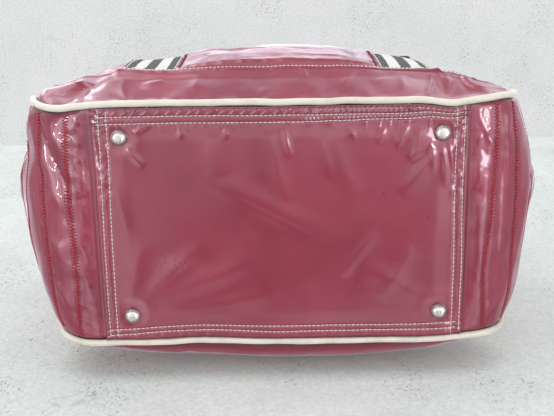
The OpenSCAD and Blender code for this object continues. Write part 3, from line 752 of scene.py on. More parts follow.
# Sharp folds: x0, y0, x1, y1, width and height. x and y are p and 90 q on a gusset, and x and s on a face
CREASES = {
    "left": [
        (37, -89, 14, -18, 2.4, -3.0), (45, -78, 19, -12, 4.5, 2.0), (25, -90, 12, -44, 6.0, 1.4),
        (46, -90, 62, -44, 4.0, 2.0), (10, -82, 2, -66, 1.6, 1.0), (8, -60, 1, -44, 1.4, 0.9),
        (2, -90, 9, -72, 1.8, 1.0), (6, -40, -1, -28, 1.4, 0.8), (14, -44, 9, -36, 1.6, 1.2),
        (16, -3, -3, 34, 3.0, 0.8), (18, 24, -2, 54, 3.0, 0.8), (38, -4, 19, 30, 4.0, 1.2),
        (36, 38, 17, 66, 4.0, 1.0), (23, 66, 18, 77, 2.0, 0.9), (31, 52, 26, 66, 1.4, -0.9),
        (60, -70, 96, 10, 6.0, 2.2), (52, 0, 74, 70, 5.0, 1.6), (110, -60, 150, 40, 8.0, 2.2),
        (160, 50, 210, -40, 8.0, 2.0), (84, 60, 128, -10, 7.0, 1.6), (210, -60, 250, 20, 7.0, 1.6),
    ],
    "right": [
        (5, -82, 15, -56, 1.3, 1.1), (13, -66, 17, -52, 1.2, 1.0), (15, -60, 12, -52, 1.0, 0.8),
        (1.5, -88, 3, -26, 1.4, 0.7), (28, -82, 26, -62, 2.0, 1.2), (29, -70, 22, 44, 3.6, 0.8),
        (25, -84, 19, 66, 2.6, -0.9), (44, -60, 40, 60, 4.5, -0.7), (10, -20, 6, 70, 3.6, 0.8),
        (38, 30, 25, 80, 3.5, 1.0), (56, -74, 44, 30, 5.0, 1.6), (6, -90, 0, -78, 1.4, 1.0),
        (70, -70, 100, 0, 6.0, 2.0), (120, 60, 170, -40, 8.0, 2.2), (180, -50, 230, 30, 8.0, 2.0),
        (90, 20, 140, 76, 7.0, 1.6), (225, 40, 262, -30, 7.0, 1.6),
    ],
    "front": [
        (-176, 25, -138, 40, 2.6, 0.7), (-148, 32, -112, 62, 2.4, 0.8), (-164, 18, -136, 26, 3.0, 0.5),
        (178, 30, 143, 24, 2.6, 1.4), (152, 22, 138, 50, 2.2, 1.8), (142, 44, 120, 55, 2.0, 1.4),
        (128, 54, 96, 56, 2.0, 1.2), (132, 50, 126, 18, 2.0, 1.4), (120, 50, 110, 10, 2.4, 1.5),
        (146, 46, 160, 60, 1.6, 1.2), (136, 58, 150, 40, 1.4, -1.0), (-104, 28, -86, 40, 4.0, 0.9),
        (96, 44, 92, 16, 3.0, 1.1), (19, 56, 20, 38, 1.6, 0.9), (40, 54, 41, 42, 1.4, 0.7),
        (-60, 50, -64, 18, 5.0, 0.8), (-120, 44, -112, 8, 5.0, 1.0), (70, 30, 100, 44, 5.0, 0.8),
        (-16, 8, -12, 26, 3.0, 0.6), (60, 50, 48, 22, 2.4, 0.7), (-150, 120, -128, 230, 6.0, 2.0),
        (150, 90, 132, 210, 6.0, 2.0), (-60, 205, 40, 232, 5.0, 1.4),
    ],
    "back": [
        (-150, 30, -90, 100, 6.0, 2.0), (150, 36, 80, 120, 6.0, 2.2), (-40, 60, 50, 150, 7.0, 1.6),
        (-20, 180, 60, 120, 6.0, 1.4), (130, 130, 60, 220, 6.0, 1.6), (-136, 120, -40, 225, 6.0, 1.8),
    ],
}
CREASE_SEEDS = {"left": 60, "right": 80, "front": 100, "back": 120}

# Distances round the gusset of its rows of zigzag stitching
ROW_FIRST, ROW_PITCH = 16.5, 19.5
GUSSET_ROWS = tuple(ROW_FIRST + ROW_PITCH * k for k in range(15))


def row_line(side, k, q):
    """A row's distance round the gusset, from its front end (q = -1) to its back end."""
    if side == "left":
        bend = -1.5 * bell(q - 0.1, 0.5) if k else -2.6 * bell(q - 0.2, 0.5) - 4.2 * until(-0.95, -0.3, q)
    else:
        bend = 0.6 if k else 2.4 * until(-0.9, 0.1, q) - 3.4 * bell(q - 0.38, 0.34) - 1.2 * step(0.5, 1, q)
    return GUSSET_ROWS[k] + bend + noise2(q * 1.8 + k * 5.3, 0.5, 90 if side == "left" else 91)


def gusset_sink(side, p, q):
    """How far the soft gusset falls in from its full swell."""
    full = step(4, 36, p) * until(250, 310, p) * (1 - q * q)
    if side == "left":
        pinched = 8.0 * bell(q + 0.78, 0.26) * bell(p - 74, 42)
        slack = 5.0 * bell(q - 0.5, 0.4) * step(30, 80, p)
        return full * (2.0 * bell(p - 34, 24) * bell(q - 0.1, 0.6) + slack + pinched)
    return full * (4.2 * bell(q + 0.05, 0.8) + 6.5 * bell(q - 0.45, 0.4) * step(30, 80, p))


def gusset_at(side, p, q, off=FACE_OUT):
    """The gusset's skin with its folds, tucked in beside the piping, and drawn in along its quilted rows."""
    p, q = np.broadcast_arrays(np.asarray(p, float), np.asarray(q, float))
    edge = (1 - np.abs(q)) * 90
    free = step(-1, 8, p) * step(0, 8, edge)
    creases = sum(folds(p, q * 90, CREASES[side], 1.15, 2.5, CREASE_SEEDS[side]))
    off = off - 1.3 * until(0, 3.2, edge) + free * creases
    off = off - gusset_sink(side, p, q) - bell(p + 3.0, 0.9)
    pleat = noise2(p / 4.4, 3.0 + q, 71) * np.exp(-edge / 4.0) * 0.25 * step(0, 1.5, edge)
    off = off + pleat * step(0, 6, p)
    uneven = 0.10 * fbm(p / 6.0, q * 4.5, 72, 2) + 0.05 * fbm(p / 5.0, q * 18.0, 76, 2)
    near_base = bell(p - 6, 6.5) * until(-0.35, 0.05, q) + 0.35 * bell(p - 26, 9) * until(-0.6, -0.1, q)
    crinkle = np.abs(noise2(p / 2.6, q * 14 + p / 7, 78)) - 0.3
    uneven = uneven + near_base * 1.25 * crinkle
    t = np.clip((p - ROW_FIRST) / ROW_PITCH, -0.8, 14.8)
    puff = (0.42 + 0.33 * step(50, 80, p)) * np.sin(np.pi * (t - np.floor(t))) ** 0.8
    puff = puff * (0.7 + 0.5 * noise2(p / 30, q * 3, 77))
    off = off + (uneven + puff * step(2, 22, edge)) * free
    for k in range(len(GUSSET_ROWS)):
        off = off - 0.4 * bell(p - row_line(side, k, q), 1.9) * step(0, 3, edge)
    close = 0.28 if side == "left" else 0.12
    follow = free * (close + (1 - close) * step(48, 95, p))
    share = np.clip((p + 2) / (PATH_LEN + 2), 0, 1)
    return gusset_raw(side, p, q, off) + sample(FOLDS[side], (q + 1) / 2, share) * follow[..., None]


def face_sink(side, x, s):
    """How far the soft faces fall in low down, most of all where the bag rests on its back."""
    if side == "back":
        return step(12, 45, s) * until(115, 185, s) * (4.0 + 3.0 * bell(x - 140, 60))
    swollen = 6.0 * bell(x + 134, 34) + 6.0 * bell(x + 182, 14)
    band = -2.5 * step(12, 45, s) * bell(x - 134, 12) - step(8, 64, s) * swollen
    over = step(60, 80, s) * until(190, 260, s)
    return band * until(60, 80, s) + over * (6.5 * bell(x - 150, 26) - 4.4 * bell(x + 130, 16))


def face_at(side, x, s, off=FACE_OUT, covered=0.0):
    """A layer on a face panel, off over the piping's plane. Covered layers follow the folds less."""
    x, s = np.broadcast_arrays(np.asarray(x, float), np.asarray(s, float))
    half = half_at(s)
    edge = np.minimum(np.minimum(half - np.abs(x), s - EDGE_IN), BODY_H - EDGE_IN - s)
    free = step(0, 8, edge)
    relief = sum(folds(x, s, CREASES[side], 1.15, 2.0, CREASE_SEEDS[side])) * free * (1 - covered)
    pleat = noise2(x / 3.6, 7.0, 73) * np.exp(-np.maximum(s - EDGE_IN, 0) / 5.0) * 0.3
    relief = relief + pleat * step(0, 1.5, edge) - 1.5 * until(0, 3.4, edge)
    base = face_xyz(side, x, s, off + face_swell(x, s, side) - face_sink(side, x, s) * free + relief)
    moved = sample(FOLDS[side], (x / half + 1) / 2, (s - EDGE_IN) / (BODY_H - 2 * EDGE_IN))
    calm = 0.3 + 0.7 * step(BAND_H - 10, BAND_H + 30, s)
    return base + moved * (free * calm * (1 - 0.5 * covered))[..., None]


# The base overlay's ends, and the places of its two rows of topstitching along each side
BASE_LEFT, BASE_RIGHT = -137.0, 139.2
BASE_HALF = BASE_D / 2 - EDGE_IN
END_ROWS = (-133.0, -127.2, 135.2, 129.4)
FRONT_ROWS, BACK_ROWS = (-86.6, -81.2), (86.8, 82.1)
LONG_ROWS = FRONT_ROWS + BACK_ROWS
BASE_STITCH_R, BASE_STITCH_PITCH, BASE_STITCH_FILL = 0.30, 3.4, 0.9

# Folds that run out from the studs, and creases of the board: x0, y0, x1, y1, width, height and sharpness
BASE_FOLDS = [
    (-112, 66, -20, 26, 9.0, 0.7, 1.8), (-110, 60, -60, 12, 7.0, 0.6, 1.8), (-100, 70, -6, 56, 8.0, 0.6, 1.8),
    (-118, 58, -104, 10, 7.0, 0.5, 1.8), (-62, -38, 40, 18, 3.4, -0.24, 1.5),
    (-56, -42, 44, 12, 8.0, 0.3, 2.0), (46, 40, 72, 4, 4.5, 0.42, 1.7), (76, 60, 100, 16, 6.0, 0.5, 1.6),
    (112, 62, 60, 30, 8.0, 0.5, 1.8), (-10, -74, 6, -20, 5.0, 0.5, 1.6), (34, -74, 58, -22, 7.0, 0.32, 1.8),
    (-50, -72, -44, -40, 8.0, 0.4, 2.0), (104, -77, 98, -50, 4.0, 0.8, 1.3),
    (92, -78, 86, -60, 2.4, 0.8, 1.2), (120, -62, 123, -30, 2.4, 1.2, 1.2),
    (111, -67, 113, -40, 1.8, 0.9, 1.1), (96, -50, 111, -66, 1.8, 0.8, 1.1),
    (120, -62, 90, -24, 6.0, 0.8, 1.6), (-112, -62, -100, -48, 2.0, 0.9, 1.1),
    (-108, -74, -92, -82, 2.2, 0.8, 1.2), (-122, -40, -116, 4, 5.0, 0.5, 1.6),
    (2, -77, 10, -54, 2.6, 0.8, 1.4), (31, -66, 38, -36, 4.0, 0.4, 1.7), (124, -66, 128, -40, 1.8, 1.0, 1.2),
    (76, -77, 72, -64, 2.4, 0.8, 1.2), (52, -77, 56, -68, 2.0, 0.7, 1.2), (-40, -77, -38, -69, 2.0, 0.6, 1.2),
    (-70, -77, -74, -70, 2.0, 0.6, 1.2),
]


def base_row(row, x):
    """A long row's place: the rows spread toward the back left, and close up at the front right."""
    if row > 0:
        drift = 2.8 * until(-140, -90, x)
    elif row == FRONT_ROWS[0]:
        drift = -1.6 * step(90, 120, x)
    else:
        drift = -1.2 * step(0, 90, x) - 2.3 * step(92, 118, x)
    return row + drift + 0.3 * noise2(x / 42, row, 21) + 0.15 * noise2(x / 13, row + 2, 22)


def end_row(row, y):
    """A short row's place along x."""
    drift = 1.6 * until(-80, 30, y) if row < 0 else 2.0 * step(-60, 50, y)
    return row + drift + 0.4 * noise2(y / 30, 1.0, 6)


def row_marks(x, y, width):
    """How near each place on the base is to each row of stitches."""
    marks = [bell(x - end_row(row, y), width) for row in END_ROWS]
    return marks + [bell(y - base_row(row, x), width) for row in LONG_ROWS]


def stud_places():
    return [(sx * STUD_X + (1.2 if sy < 0 else 3.0), sy * STUD_Y - 0.4) for sy in (-1, 1) for sx in (-1, 1)]


def puckers(x, front, first, second):
    """Gathers along the front edge: a few slanting ones on the left, and many close ones on the right."""

    def ripple(slope, sway, stretch, row, seed, pitch):
        return np.sin(2 * np.pi * (x + slope * front + sway * noise2(x / stretch, row, seed)) / pitch)

    right_hand = step(-10, 60, x)
    strip = step(0.4, 2.2, front) * until(first - 1.4, first - 0.1, front)
    slant, close = ripple(1.1, 1.5, 11, 2.0, 12, 7.8), ripple(0.2, 1.0, 9, 2.0, 17, 3.7)
    uneven = 0.75 + 0.45 * noise2(x / 12, 9.0, 14)
    wide = (1 - right_hand) * 0.85 * np.maximum(slant, 0) ** 4 + right_hand * (0.2 + 0.50 * close)
    yield strip * uneven * wide
    strip = step(first + 0.1, first + 0.9, front) * until(second - 1.0, second - 0.1, front)
    depth = 0.05 + 0.27 * right_hand + 0.16 * until(-110, -80, x)
    yield strip * uneven * (0.05 + depth * ripple(-0.3, 0.8, 7, 5.0, 13, 3.0))
    tail = np.exp(-np.maximum(front - second - 1.0, 0) / 4.5) * step(second + 0.3, second + 1.4, front)
    yield tail * 1.1 * (np.maximum(0, noise2(x / 2.6, front / 14.0, 16)) * (0.25 + 0.75 * step(20, 90, x)))


def base_relief(x, y):
    """How far the base panel stands below its flat level: hems, stitch lines, puckers and folds."""
    front, back = y + BASE_HALF, BASE_HALF - y
    end = np.minimum(x - BASE_LEFT, BASE_RIGHT - x)
    out = 0.9 * until(1.6, 3.6, end) - 1.1 * until(0, 0.9, end) + 0.25 * fbm(x / 70, y / 60, 5, 2)
    for mark in row_marks(x, y, 0.9):
        out = out - 0.55 * mark
    inner = np.minimum(np.minimum(front - 12, back - 10), end - 10)
    out = out + 0.5 * step(0, 14, inner)
    for gather in puckers(x, front, *(base_row(row, x) + BASE_HALF for row in FRONT_ROWS)):
        out = out + gather
    busy = 0.22 + 0.4 * until(-60, 0, y)
    out = out + noise2(y / 2.4, end / 3.0, 18) * until(9, 15, end) * busy * step(2, 4, end)
    out = out + 0.16 * noise2(x / 3.5, 6.0, 19) * until(8, 15, back)
    out = out - 0.5 * until(0, 2.5, np.minimum(front, back)) * 1.8
    for fold in folds(x, y, BASE_FOLDS, 1.0, 1.5, 130):
        out = out + fold * step(2, 8, inner + 8)
    for px, py in stud_places():
        d = np.hypot(x - px, y - py)
        out = out - 0.7 * bell(d, 9.0) + 0.3 * bell(d - 13, 5.0)
    return out


def base_at(x, y, off=0.0):
    """The base panel's outer face, off below it."""
    x, y = np.broadcast_arrays(np.asarray(x, float), np.asarray(y, float))
    return settle(np.stack([x, y, STUD_H - base_relief(x, y) - off], -1))


# ---------- Stitches ----------


def normals(at, a, b, h=0.4):
    """Outward normals of a skin function at its two coordinates."""
    n = unit(np.cross(at(a + h, b) - at(a - h, b), at(a, b + h) - at(a, b - h)))
    out = at(a, b, 1.0) - at(a, b, 0.0)
    return n * np.sign(np.sum(n * out, -1, keepdims=True))


def row_of(at, a, b, radius=WHITE_R, pitch=STITCH_PITCH, fill=0.8, off=0.0):
    """A row of running stitches along a path given in the coordinates of a skin function."""
    length = lengths(at(a, b, off))
    t0 = np.arange(max(1, int(length[-1] / pitch))) * pitch + pitch * (1 - fill) / 2
    t1 = t0 + pitch * fill
    starts, ends, middles = ([np.interp(t, length, v) for v in (a, b)] for t in (t0, t1, (t0 + t1) / 2))
    return stitch_parts(at(*starts, off), at(*ends, off), normals(at, *middles), radius)


def hole_parts(points, up, radius):
    """Small dimples where the needle went in; their near-black material is painted shade."""
    k = 7
    side = unit(np.cross(up, np.array([0.31, 0.52, 0.8])))
    cos, sin = (v[None, :, None] for v in circle(k))
    ring = cos * side[:, None] + sin * np.cross(up, side)[:, None]
    low = points[:, None] + radius * ring - 0.25 * up[:, None]
    mid = points[:, None] + radius * 0.8 * ring + 0.06 * up[:, None]
    co = np.stack([low, mid], 1).reshape(-1, 3)
    base, j = (np.arange(len(points)) * 2 * k)[:, None], np.arange(k)[None]
    quads = together(base + j, base + (j + 1) % k, base + k + (j + 1) % k, base + k + j).reshape(-1, 4)
    return co, [quads, np.concatenate([base + j[:, ::-1], base + k + j])]


def place(obj, slot, body="bag", replaces=()):
    if replaces:
        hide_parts(*replaces)
    if body:
        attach(obj, body)
    return obj


def sewn(name, rows, mat=WHITE, slot="shell_cloth", body="bag"):
    return place(join(name, rows, mat), slot, body)


# ---------- Base ----------


def build_base():
    left, right = (BASE_LEFT, BASE_LEFT + 16), (BASE_RIGHT - 16, BASE_RIGHT)
    x = np.concatenate([
        np.linspace(*left, 20)[:-1], np.linspace(left[1], right[0], 360)[:-1], np.linspace(*right, 20),
    ])
    low, high = 18 - BASE_HALF, BASE_HALF - 16
    y = np.concatenate([
        np.linspace(-BASE_HALF, low, 43)[:-1], np.linspace(low, high, 74)[:-1],
        np.linspace(high, BASE_HALF, 26),
    ])
    gx, gy = np.meshgrid(x, y)
    outer = base_at(gx, gy)
    inner = outer.copy()
    inner[..., 2] = STUD_H + SHELL_T
    end = np.minimum(gx - BASE_LEFT, BASE_RIGHT - gx)
    # Painted shade: darker beside the piping, at the overlay's ends, along the stitch rows and in the puckers'
    # valleys
    seam = np.maximum(until(0.2, 1.6, BASE_HALF - np.abs(gy)), 0.9 * until(0.1, 0.8, end))
    for mark in row_marks(gx, gy, 0.8):
        seam = np.maximum(seam, 0.5 * mark)
    relief = base_relief(gx, gy)
    # The puckers' valleys, which get painted shade
    dips = np.clip((blurred(relief, 2) - relief) / 0.22, 0, 1)
    seam = np.maximum(seam, 0.85 * dips * until(14, 20, gy + BASE_HALF))
    scuff = 1.2 * bell(np.hypot((gx + 82) / 2.0, gy - 27), 6.5)
    scuff = scuff + 0.1 * np.maximum(0, fbm(gx / 25, gy / 25, 3))
    obj = sheet("base_panel", outer, inner, MATS["enamel_base"], gx, gy, scuff=scuff, seam=seam)
    place(obj, "shell_cloth", replaces=["bottom_panel"])
    b = np.linspace(-BASE_HALF + 0.8, BASE_HALF - 0.8, 160)
    a = np.linspace(END_ROWS[0], END_ROWS[2], 260)
    paths = [(end_row(row, b), b) for row in END_ROWS] + [(a, base_row(row, a)) for row in LONG_ROWS]
    style = (BASE_STITCH_R, BASE_STITCH_PITCH, BASE_STITCH_FILL)
    sewn("base_stitches", [row_of(base_at, *path, *style) for path in paths])


def build_studs():
    """Domed feet with a worn tip, a narrow rim, and the shank that goes through the base."""
    parts = []
    for k, (px, py) in enumerate(stud_places()):
        t = np.linspace(0.03, np.pi / 2, 22)
        r = column([0.7, 1.3], 1.6 + (STUD_R - 1.6) * np.sin(t), [STUD_R, STUD_R - 0.2, 1.5, 1.5])
        z = (STUD_H - 0.7) * (1 - np.cos(t)) + 0.02
        z = column([0.0, 0.0], z, [STUD_H - 0.25, STUD_H + 0.4, STUD_H + 0.5, WASHER_TOP])
        cos, sin = circle(56)
        dent = 0.05 * fbm(r * cos / 1.9 + 5 * k, r * sin / 1.9, 25, 2) * (z < 3.6) * (1 - z / 3.7)
        rings = np.stack([px + r * cos, py + r * sin, np.maximum(z + np.abs(dent), 0)], -1)
        parts.append(tube_parts(rings[:, ::-1]))
    place(join("base_studs", parts, MATS["nickel"]), "stud_metal", replaces=["bottom_studs"])


# ---------- Gussets ----------


def build_gusset(side):
    p = column(np.linspace(-GUSSET_LAP, 0, 6)[:-1], np.linspace(0, PATH_LEN - 0.4, 178))
    q = spread(86, 0.45)
    # Painted shade: darker beside the piping, in the groove by the base overlay's edge, and along the zigzag
    # rows
    seam = np.maximum(until(0.3, 2.6, (1 - np.abs(q)) * 90), 0.8 * bell(p + 3.0, 0.6))
    for k in range(len(GUSSET_ROWS)):
        seam = np.maximum(seam, 0.35 * bell(p - row_line(side, k, q), 1.7))
    skins = (gusset_at(side, p, q), gusset_at(side, p, q, FACE_IN))
    obj = sheet(side + "_side", *skins, CLOTH, q * 90, p, seam=seam)
    place(obj, "shell_cloth", replaces=[side + "_gusset"])
    at = lambda a, b, off=0.0: gusset_at(side, a, b / 90, FACE_OUT + off)
    stitches, holes = [], []
    for k, row in enumerate(GUSSET_ROWS):
        deep = BASE_D / 2 - gusset_station(row)[1] * SIN_S - EDGE_IN
        b = np.arange(-88.0, 87.0, 2.5 * 90 / deep)
        mid = row_line(side, k, b / 90)
        width = 2.1 + 0.3 * noise2(b / 7, k, 93)
        a = np.stack([mid - width, mid + width], -1).ravel()
        b = np.stack([b, b + 1.25 * 90 / deep], -1).ravel()
        points = at(a, b)
        up = normals(at, (a[:-1] + a[1:]) / 2, (b[:-1] + b[1:]) / 2)
        stitches.append(stitch_parts(points[:-1], points[1:], up, 0.40, 0.9))
        holes.append(hole_parts(points, normals(at, a, b), 0.66))
    sewn(side + "_side_stitches", stitches, MATS["red_thread"])
    sewn(side + "_side_holes", holes, MATS["needle_hole_shade"])


# ---------- Faces ----------


def hem_over(x, side):
    """How much further the band's hem stands out where it covers the straps and the pocket."""
    covered = until(HALF_WEB + 0.5, HALF_WEB + 5, np.abs(np.abs(x) - STRAP_X))
    if side == "front":
        covered = np.maximum(covered, until(HALF_POCKET, HALF_POCKET + 4, np.abs(x)))
    return 2.2 * covered


def build_band(side):
    fold = BAND_H - HEM_H
    s = column(
        EDGE_IN + (LOW_R - EDGE_IN) * quarter(22)[1], np.linspace(LOW_R, fold - 1, 10)[1:],
        np.linspace(fold - 0.6, fold + 1.2, 5), np.linspace(fold + 1.8, BAND_H - 1.4, 7),
        BAND_H - np.array([1.0, 0.6, 0.25, 0.05]),
    )
    x = spread(250, 0.55) * half_at(s)
    lift = 0.9 * step(fold - 0.8, fold + 1.0, s) + hem_over(x, side) * step(fold - 14, fold + 2, s)
    lift = lift * rounded(s, BAND_H - 1.5, 1.5) - 0.3 * bell(s - BAND_H + 3.4, 0.9)
    lift = lift + 0.22 * noise2(x / 3.2, 8.0, 33) * step(fold - 3, fold + 2, s)
    edge = np.minimum(half_at(s) - np.abs(x), s - EDGE_IN)
    # Painted shade: darker beside the piping, under the hem's stitches, at the band's top edge and along the
    # hem's fold, most on the right
    seam = np.maximum(until(0.3, 2.6, edge), 0.5 * bell(s - BAND_H + 3.4, 0.7))
    seam = np.maximum(seam, 0.8 * step(BAND_H - 0.7, BAND_H - 0.1, s))
    seam = np.maximum(seam, (0.25 + 0.45 * step(50, 100, x)) * bell(s - fold + 0.3, 0.7))
    outer, inner = face_at(side, x, s, FACE_OUT + lift), face_at(side, x, s, FACE_OUT - SHELL_T)
    obj = sheet(side + "_lower_band", outer, inner, CLOTH, x, s, seam=seam)
    place(obj, "shell_cloth", replaces=[side + "_band"])
    x = np.linspace(-172, 172, 240)
    s = BAND_H - 3.4 + 0.3 * noise2(x / 25, 3.0, 35)
    at = lambda a, b, off=0.0: face_at(side, a, b, FACE_OUT + 0.65 + hem_over(a, side) + off)
    sewn(side + "_band_stitches", [row_of(at, x, s)])


def build_panel(side):
    s = column(np.linspace(BAND_H - 5, HIGH_S, 84), HIGH_S + (TOP_R - EDGE_IN) * quarter(26)[0][1:])
    s = np.minimum(s, BODY_H - EDGE_IN)
    x = spread(170, 0.55) * half_at(s)
    outer = face_at(side, x, s, FACE_OUT - 0.25 * until(BAND_H - 3, BAND_H + 3, s))
    edge = np.minimum(half_at(s) - np.abs(x), BODY_H - EDGE_IN - s)
    # Painted shade: darker beside the piping, just above the band, and beside the straps
    seam = np.maximum(until(0.3, 2.6, edge), 0.8 * until(BAND_H + 0.4, BAND_H + 1.8, s))
    beside = bell(np.abs(np.abs(x) - STRAP_X) - HALF_WEB - 0.4, 0.9)
    straps = beside * step(BAND_H, BAND_H + 2, s) * until(STRAP_TOP, STRAP_TOP + 1, s)
    seam = np.maximum(seam, 0.7 * straps)
    obj = sheet(side + "_upper_panel", outer, face_at(side, x, s, FACE_IN), CLOTH, x, s, seam=seam)
    place(obj, "shell_cloth", replaces=[side + "_panel"])


def build_straps(side):
    """The sewn ends of the striped webbing on a face, with rounded edges and a stitched box."""
    s = np.linspace(BAND_H - 3, STRAP_TOP, 150)[:, None]
    t = column([-1, -0.99, -0.97, -0.94], np.linspace(-0.9, 0.9, 56), [0.94, 0.97, 0.99, 1]).T
    round_edge = rounded(np.abs(t), 0.94, 0.06)
    press = 0.35 * bell(np.abs(t) - 0.88, 0.03)
    middle = LAYER_0 + WEB_T / 2
    low_end = 1 - 0.35 * until(BAND_H - 2, BAND_H + 2, s)
    for which, sx in HALVES:
        x = sx * STRAP_X + t * WEB_W / 2 + 0.12 * noise2(s / 2.2, sx * STRAP_X, 37) * np.abs(t) ** 9
        rib = 0.10 * np.sin(2 * np.pi * s / 1.5) * (0.6 + 0.4 * noise2(x / 2, s / 2, 38))
        outer = face_at(side, x, s, middle + (WEB_T / 2 * round_edge + rib - press) * low_end, 0.8)
        inner = face_at(side, x, s, middle - WEB_T / 2 * round_edge + 0.05, 0.8)
        name = f"{side}_{which}_strap"
        obj = sheet(name + "_webbing", outer, inner, MATS["webbing"], t * WEB_W / 2 + WEB_W / 2, s)
        place(obj, "webbing", replaces=[name])
    at = lambda a, b, off=0.0: face_at(side, a, b, LAYER_0 + WEB_T - 0.3 + off, 0.8)
    rows = []
    low, high = TURN_S - 34, TURN_S - 6
    for _, sx in HALVES:
        for edge in (-1, 1):
            a = np.full(120, sx * STRAP_X + edge * WEB_W / 2 * 0.88)
            rows.append(row_of(at, a, np.linspace(BAND_H + 1.5, high, 120), off=0.1))
        a = np.linspace(sx * STRAP_X - WEB_W * 0.44, sx * STRAP_X + WEB_W * 0.44, 60)
        for b0, b1 in ((low, low), (high, high), (low, high), (high, low)):
            rows.append(row_of(at, a, np.linspace(b0, b1, 60), off=0.25))
    sewn(side + "_strap_stitches", rows, slot="webbing")


def pocket_lift(x):
    across = np.clip(0.5 + x / POCKET_W, 0, 1)
    return POCKET_PUFF * np.sqrt(np.maximum(0, np.sin(np.pi * across)))


def pocket_over(x):
    """Where the pocket's edge lies over a strap."""
    return step(HALF_POCKET - 3, HALF_POCKET, np.abs(x))


def pocket_off(x, s):
    """The pocket's outer height: puffed in the middle, laid over the straps' inner edges, and creased."""
    over = pocket_over(x)
    lift = LAYER_0 + WEB_T + pocket_lift(x) * (1 - over) + over * 0.9
    lines = [(-66, 116, -10, 104, 2.4, 1.0), (10, 82, 70, 70, 4.0, 0.9, 1.3)]
    crease = sum(folds(x, s, [(-70, 108, 64, 96, 3.0, -1.2)], 1.1, 4.0, 51))
    crease = crease + sum(folds(x, s, lines, 1.1, 3.0, 52)) + 0.5 * fbm(x / 34, s / 28, 54)
    near = np.minimum(HALF_POCKET + 2 - np.abs(x), s - BAND_H)
    pleat = 0.35 * noise2(x / 4.0, 2.0, 55) * np.exp(-(s - BAND_H) / 9.0)
    pleat = pleat + 0.3 * noise2(3.0, s / 3.2, 56) * np.exp(-(HALF_POCKET - np.abs(x)) / 5.0)
    return lift + crease * step(0, 12, near) + pleat - 0.8 * until(0, 1.6, HALF_POCKET + 2 - np.abs(x))


def build_pocket():
    x = spread(110, 0.6) * (HALF_POCKET + 2)
    beside = np.abs(x) > HALF_POCKET - 2
    s = np.linspace(BAND_H - 2.5, POCKET_TOP - 3, 96)[:, None]
    low = 1 - 0.25 * until(BAND_H - 2, BAND_H + 2, s)
    outer = face_at("front", x, s, LAYER_0 + (pocket_off(x, s) - LAYER_0) * low, 0.5)
    inner = face_at("front", x, s, np.where(beside, STRAP_OUT - 0.3, LAYER_0), 0.5)
    place(sheet("pocket_cloth", outer, inner, CLOTH, x, s), "shell_cloth", replaces=["front_pocket"])
    hem = np.array([0.0, 0.15, 0.5, 1.0])
    low, high = POCKET_TOP - BINDING_H / 2, POCKET_TOP + BINDING_H / 2
    s = column(low + hem, np.linspace(POCKET_TOP - 3.8, POCKET_TOP + 3.8, 8), high - hem[::-1])
    round_edge = np.sqrt(np.maximum(0.02, 1 - np.clip((np.abs(s - POCKET_TOP) - 4.0) / 1.5, 0, 1) ** 2))
    lift = LAYER_0 + WEB_T + BINDING_T * round_edge + pocket_lift(x) * (1 - pocket_over(x))
    outer = face_at("front", x, s, lift + 0.25 * noise2(x / 3.6, 4.0, 57), 0.5)
    inner = face_at("front", x, s, np.where(beside, STRAP_OUT - 0.2, LAYER_0 + 0.2), 0.5)
    place(sheet("pocket_mouth", outer, inner, CLOTH, x, s), "shell_cloth", replaces=["front_pocket_binding"])
    at = lambda a, b, off=0.0: face_at("front", a, b, pocket_off(a, b) + off, 0.5)
    b = np.arange(BAND_H + 2, POCKET_TOP - 7, STITCH_PITCH)
    red = []
    for sx in (-1, 1):
        inner, outer = (sx * (HALF_POCKET + edge + 0 * b) for edge in (-2.2, 1.4))
        red.append(stitch_parts(at(inner, b), at(outer, b + 1.5), normals(at, inner, b), rise=0.9))
    sewn("pocket_stitches", red, MATS["dark_thread"])

    def mouth(a, b, off=0.0):
        lift = LAYER_0 + WEB_T + BINDING_T + pocket_lift(a) * (1 - pocket_over(a))
        return face_at("front", a, b, lift + off, 0.5)

    a = np.linspace(-HALF_POCKET + 1, HALF_POCKET - 1, 120)
    sewn("pocket_mouth_stitches", [row_of(mouth, a, np.full(120, POCKET_TOP - 3.4))])


def piping_path(pitch=1.6):
    """Places round a face's piping line as x, height up the slope, and the outward direction."""
    corners = ((LOW_X, LOW_R, LOW_R), (TOP_X, HIGH_S, TOP_R), (-TOP_X, HIGH_S, TOP_R), (-LOW_X, LOW_R, LOW_R))
    legs = ((-LOW_X, 0, LOW_X, 0), (HALF_W, LOW_R, HALF_W, HIGH_S), (TOP_X, BODY_H, -TOP_X, BODY_H))
    legs += ((-HALF_W, HIGH_S, -HALF_W, LOW_R),)
    places = []
    for turn, ((x0, s0, x1, s1), (cx, cs, r)) in enumerate(zip(legs, corners)):
        n = max(2, int(math.hypot(x1 - x0, s1 - s0) / pitch))
        t = np.arange(n) / n
        nx, ns = ((0, -1), (1, 0), (0, 1), (-1, 0))[turn]
        places.append([x0 + (x1 - x0) * t, s0 + (s1 - s0) * t, np.full(n, nx), np.full(n, ns)])
        n = max(4, int(r * math.pi / 2 / pitch))
        a = np.radians(90 * turn - 90 + 90 * np.arange(n) / n)
        places.append([cx + r * np.cos(a), cs + r * np.sin(a), np.cos(a), np.sin(a)])
    return np.concatenate(places, 1).astype(float)


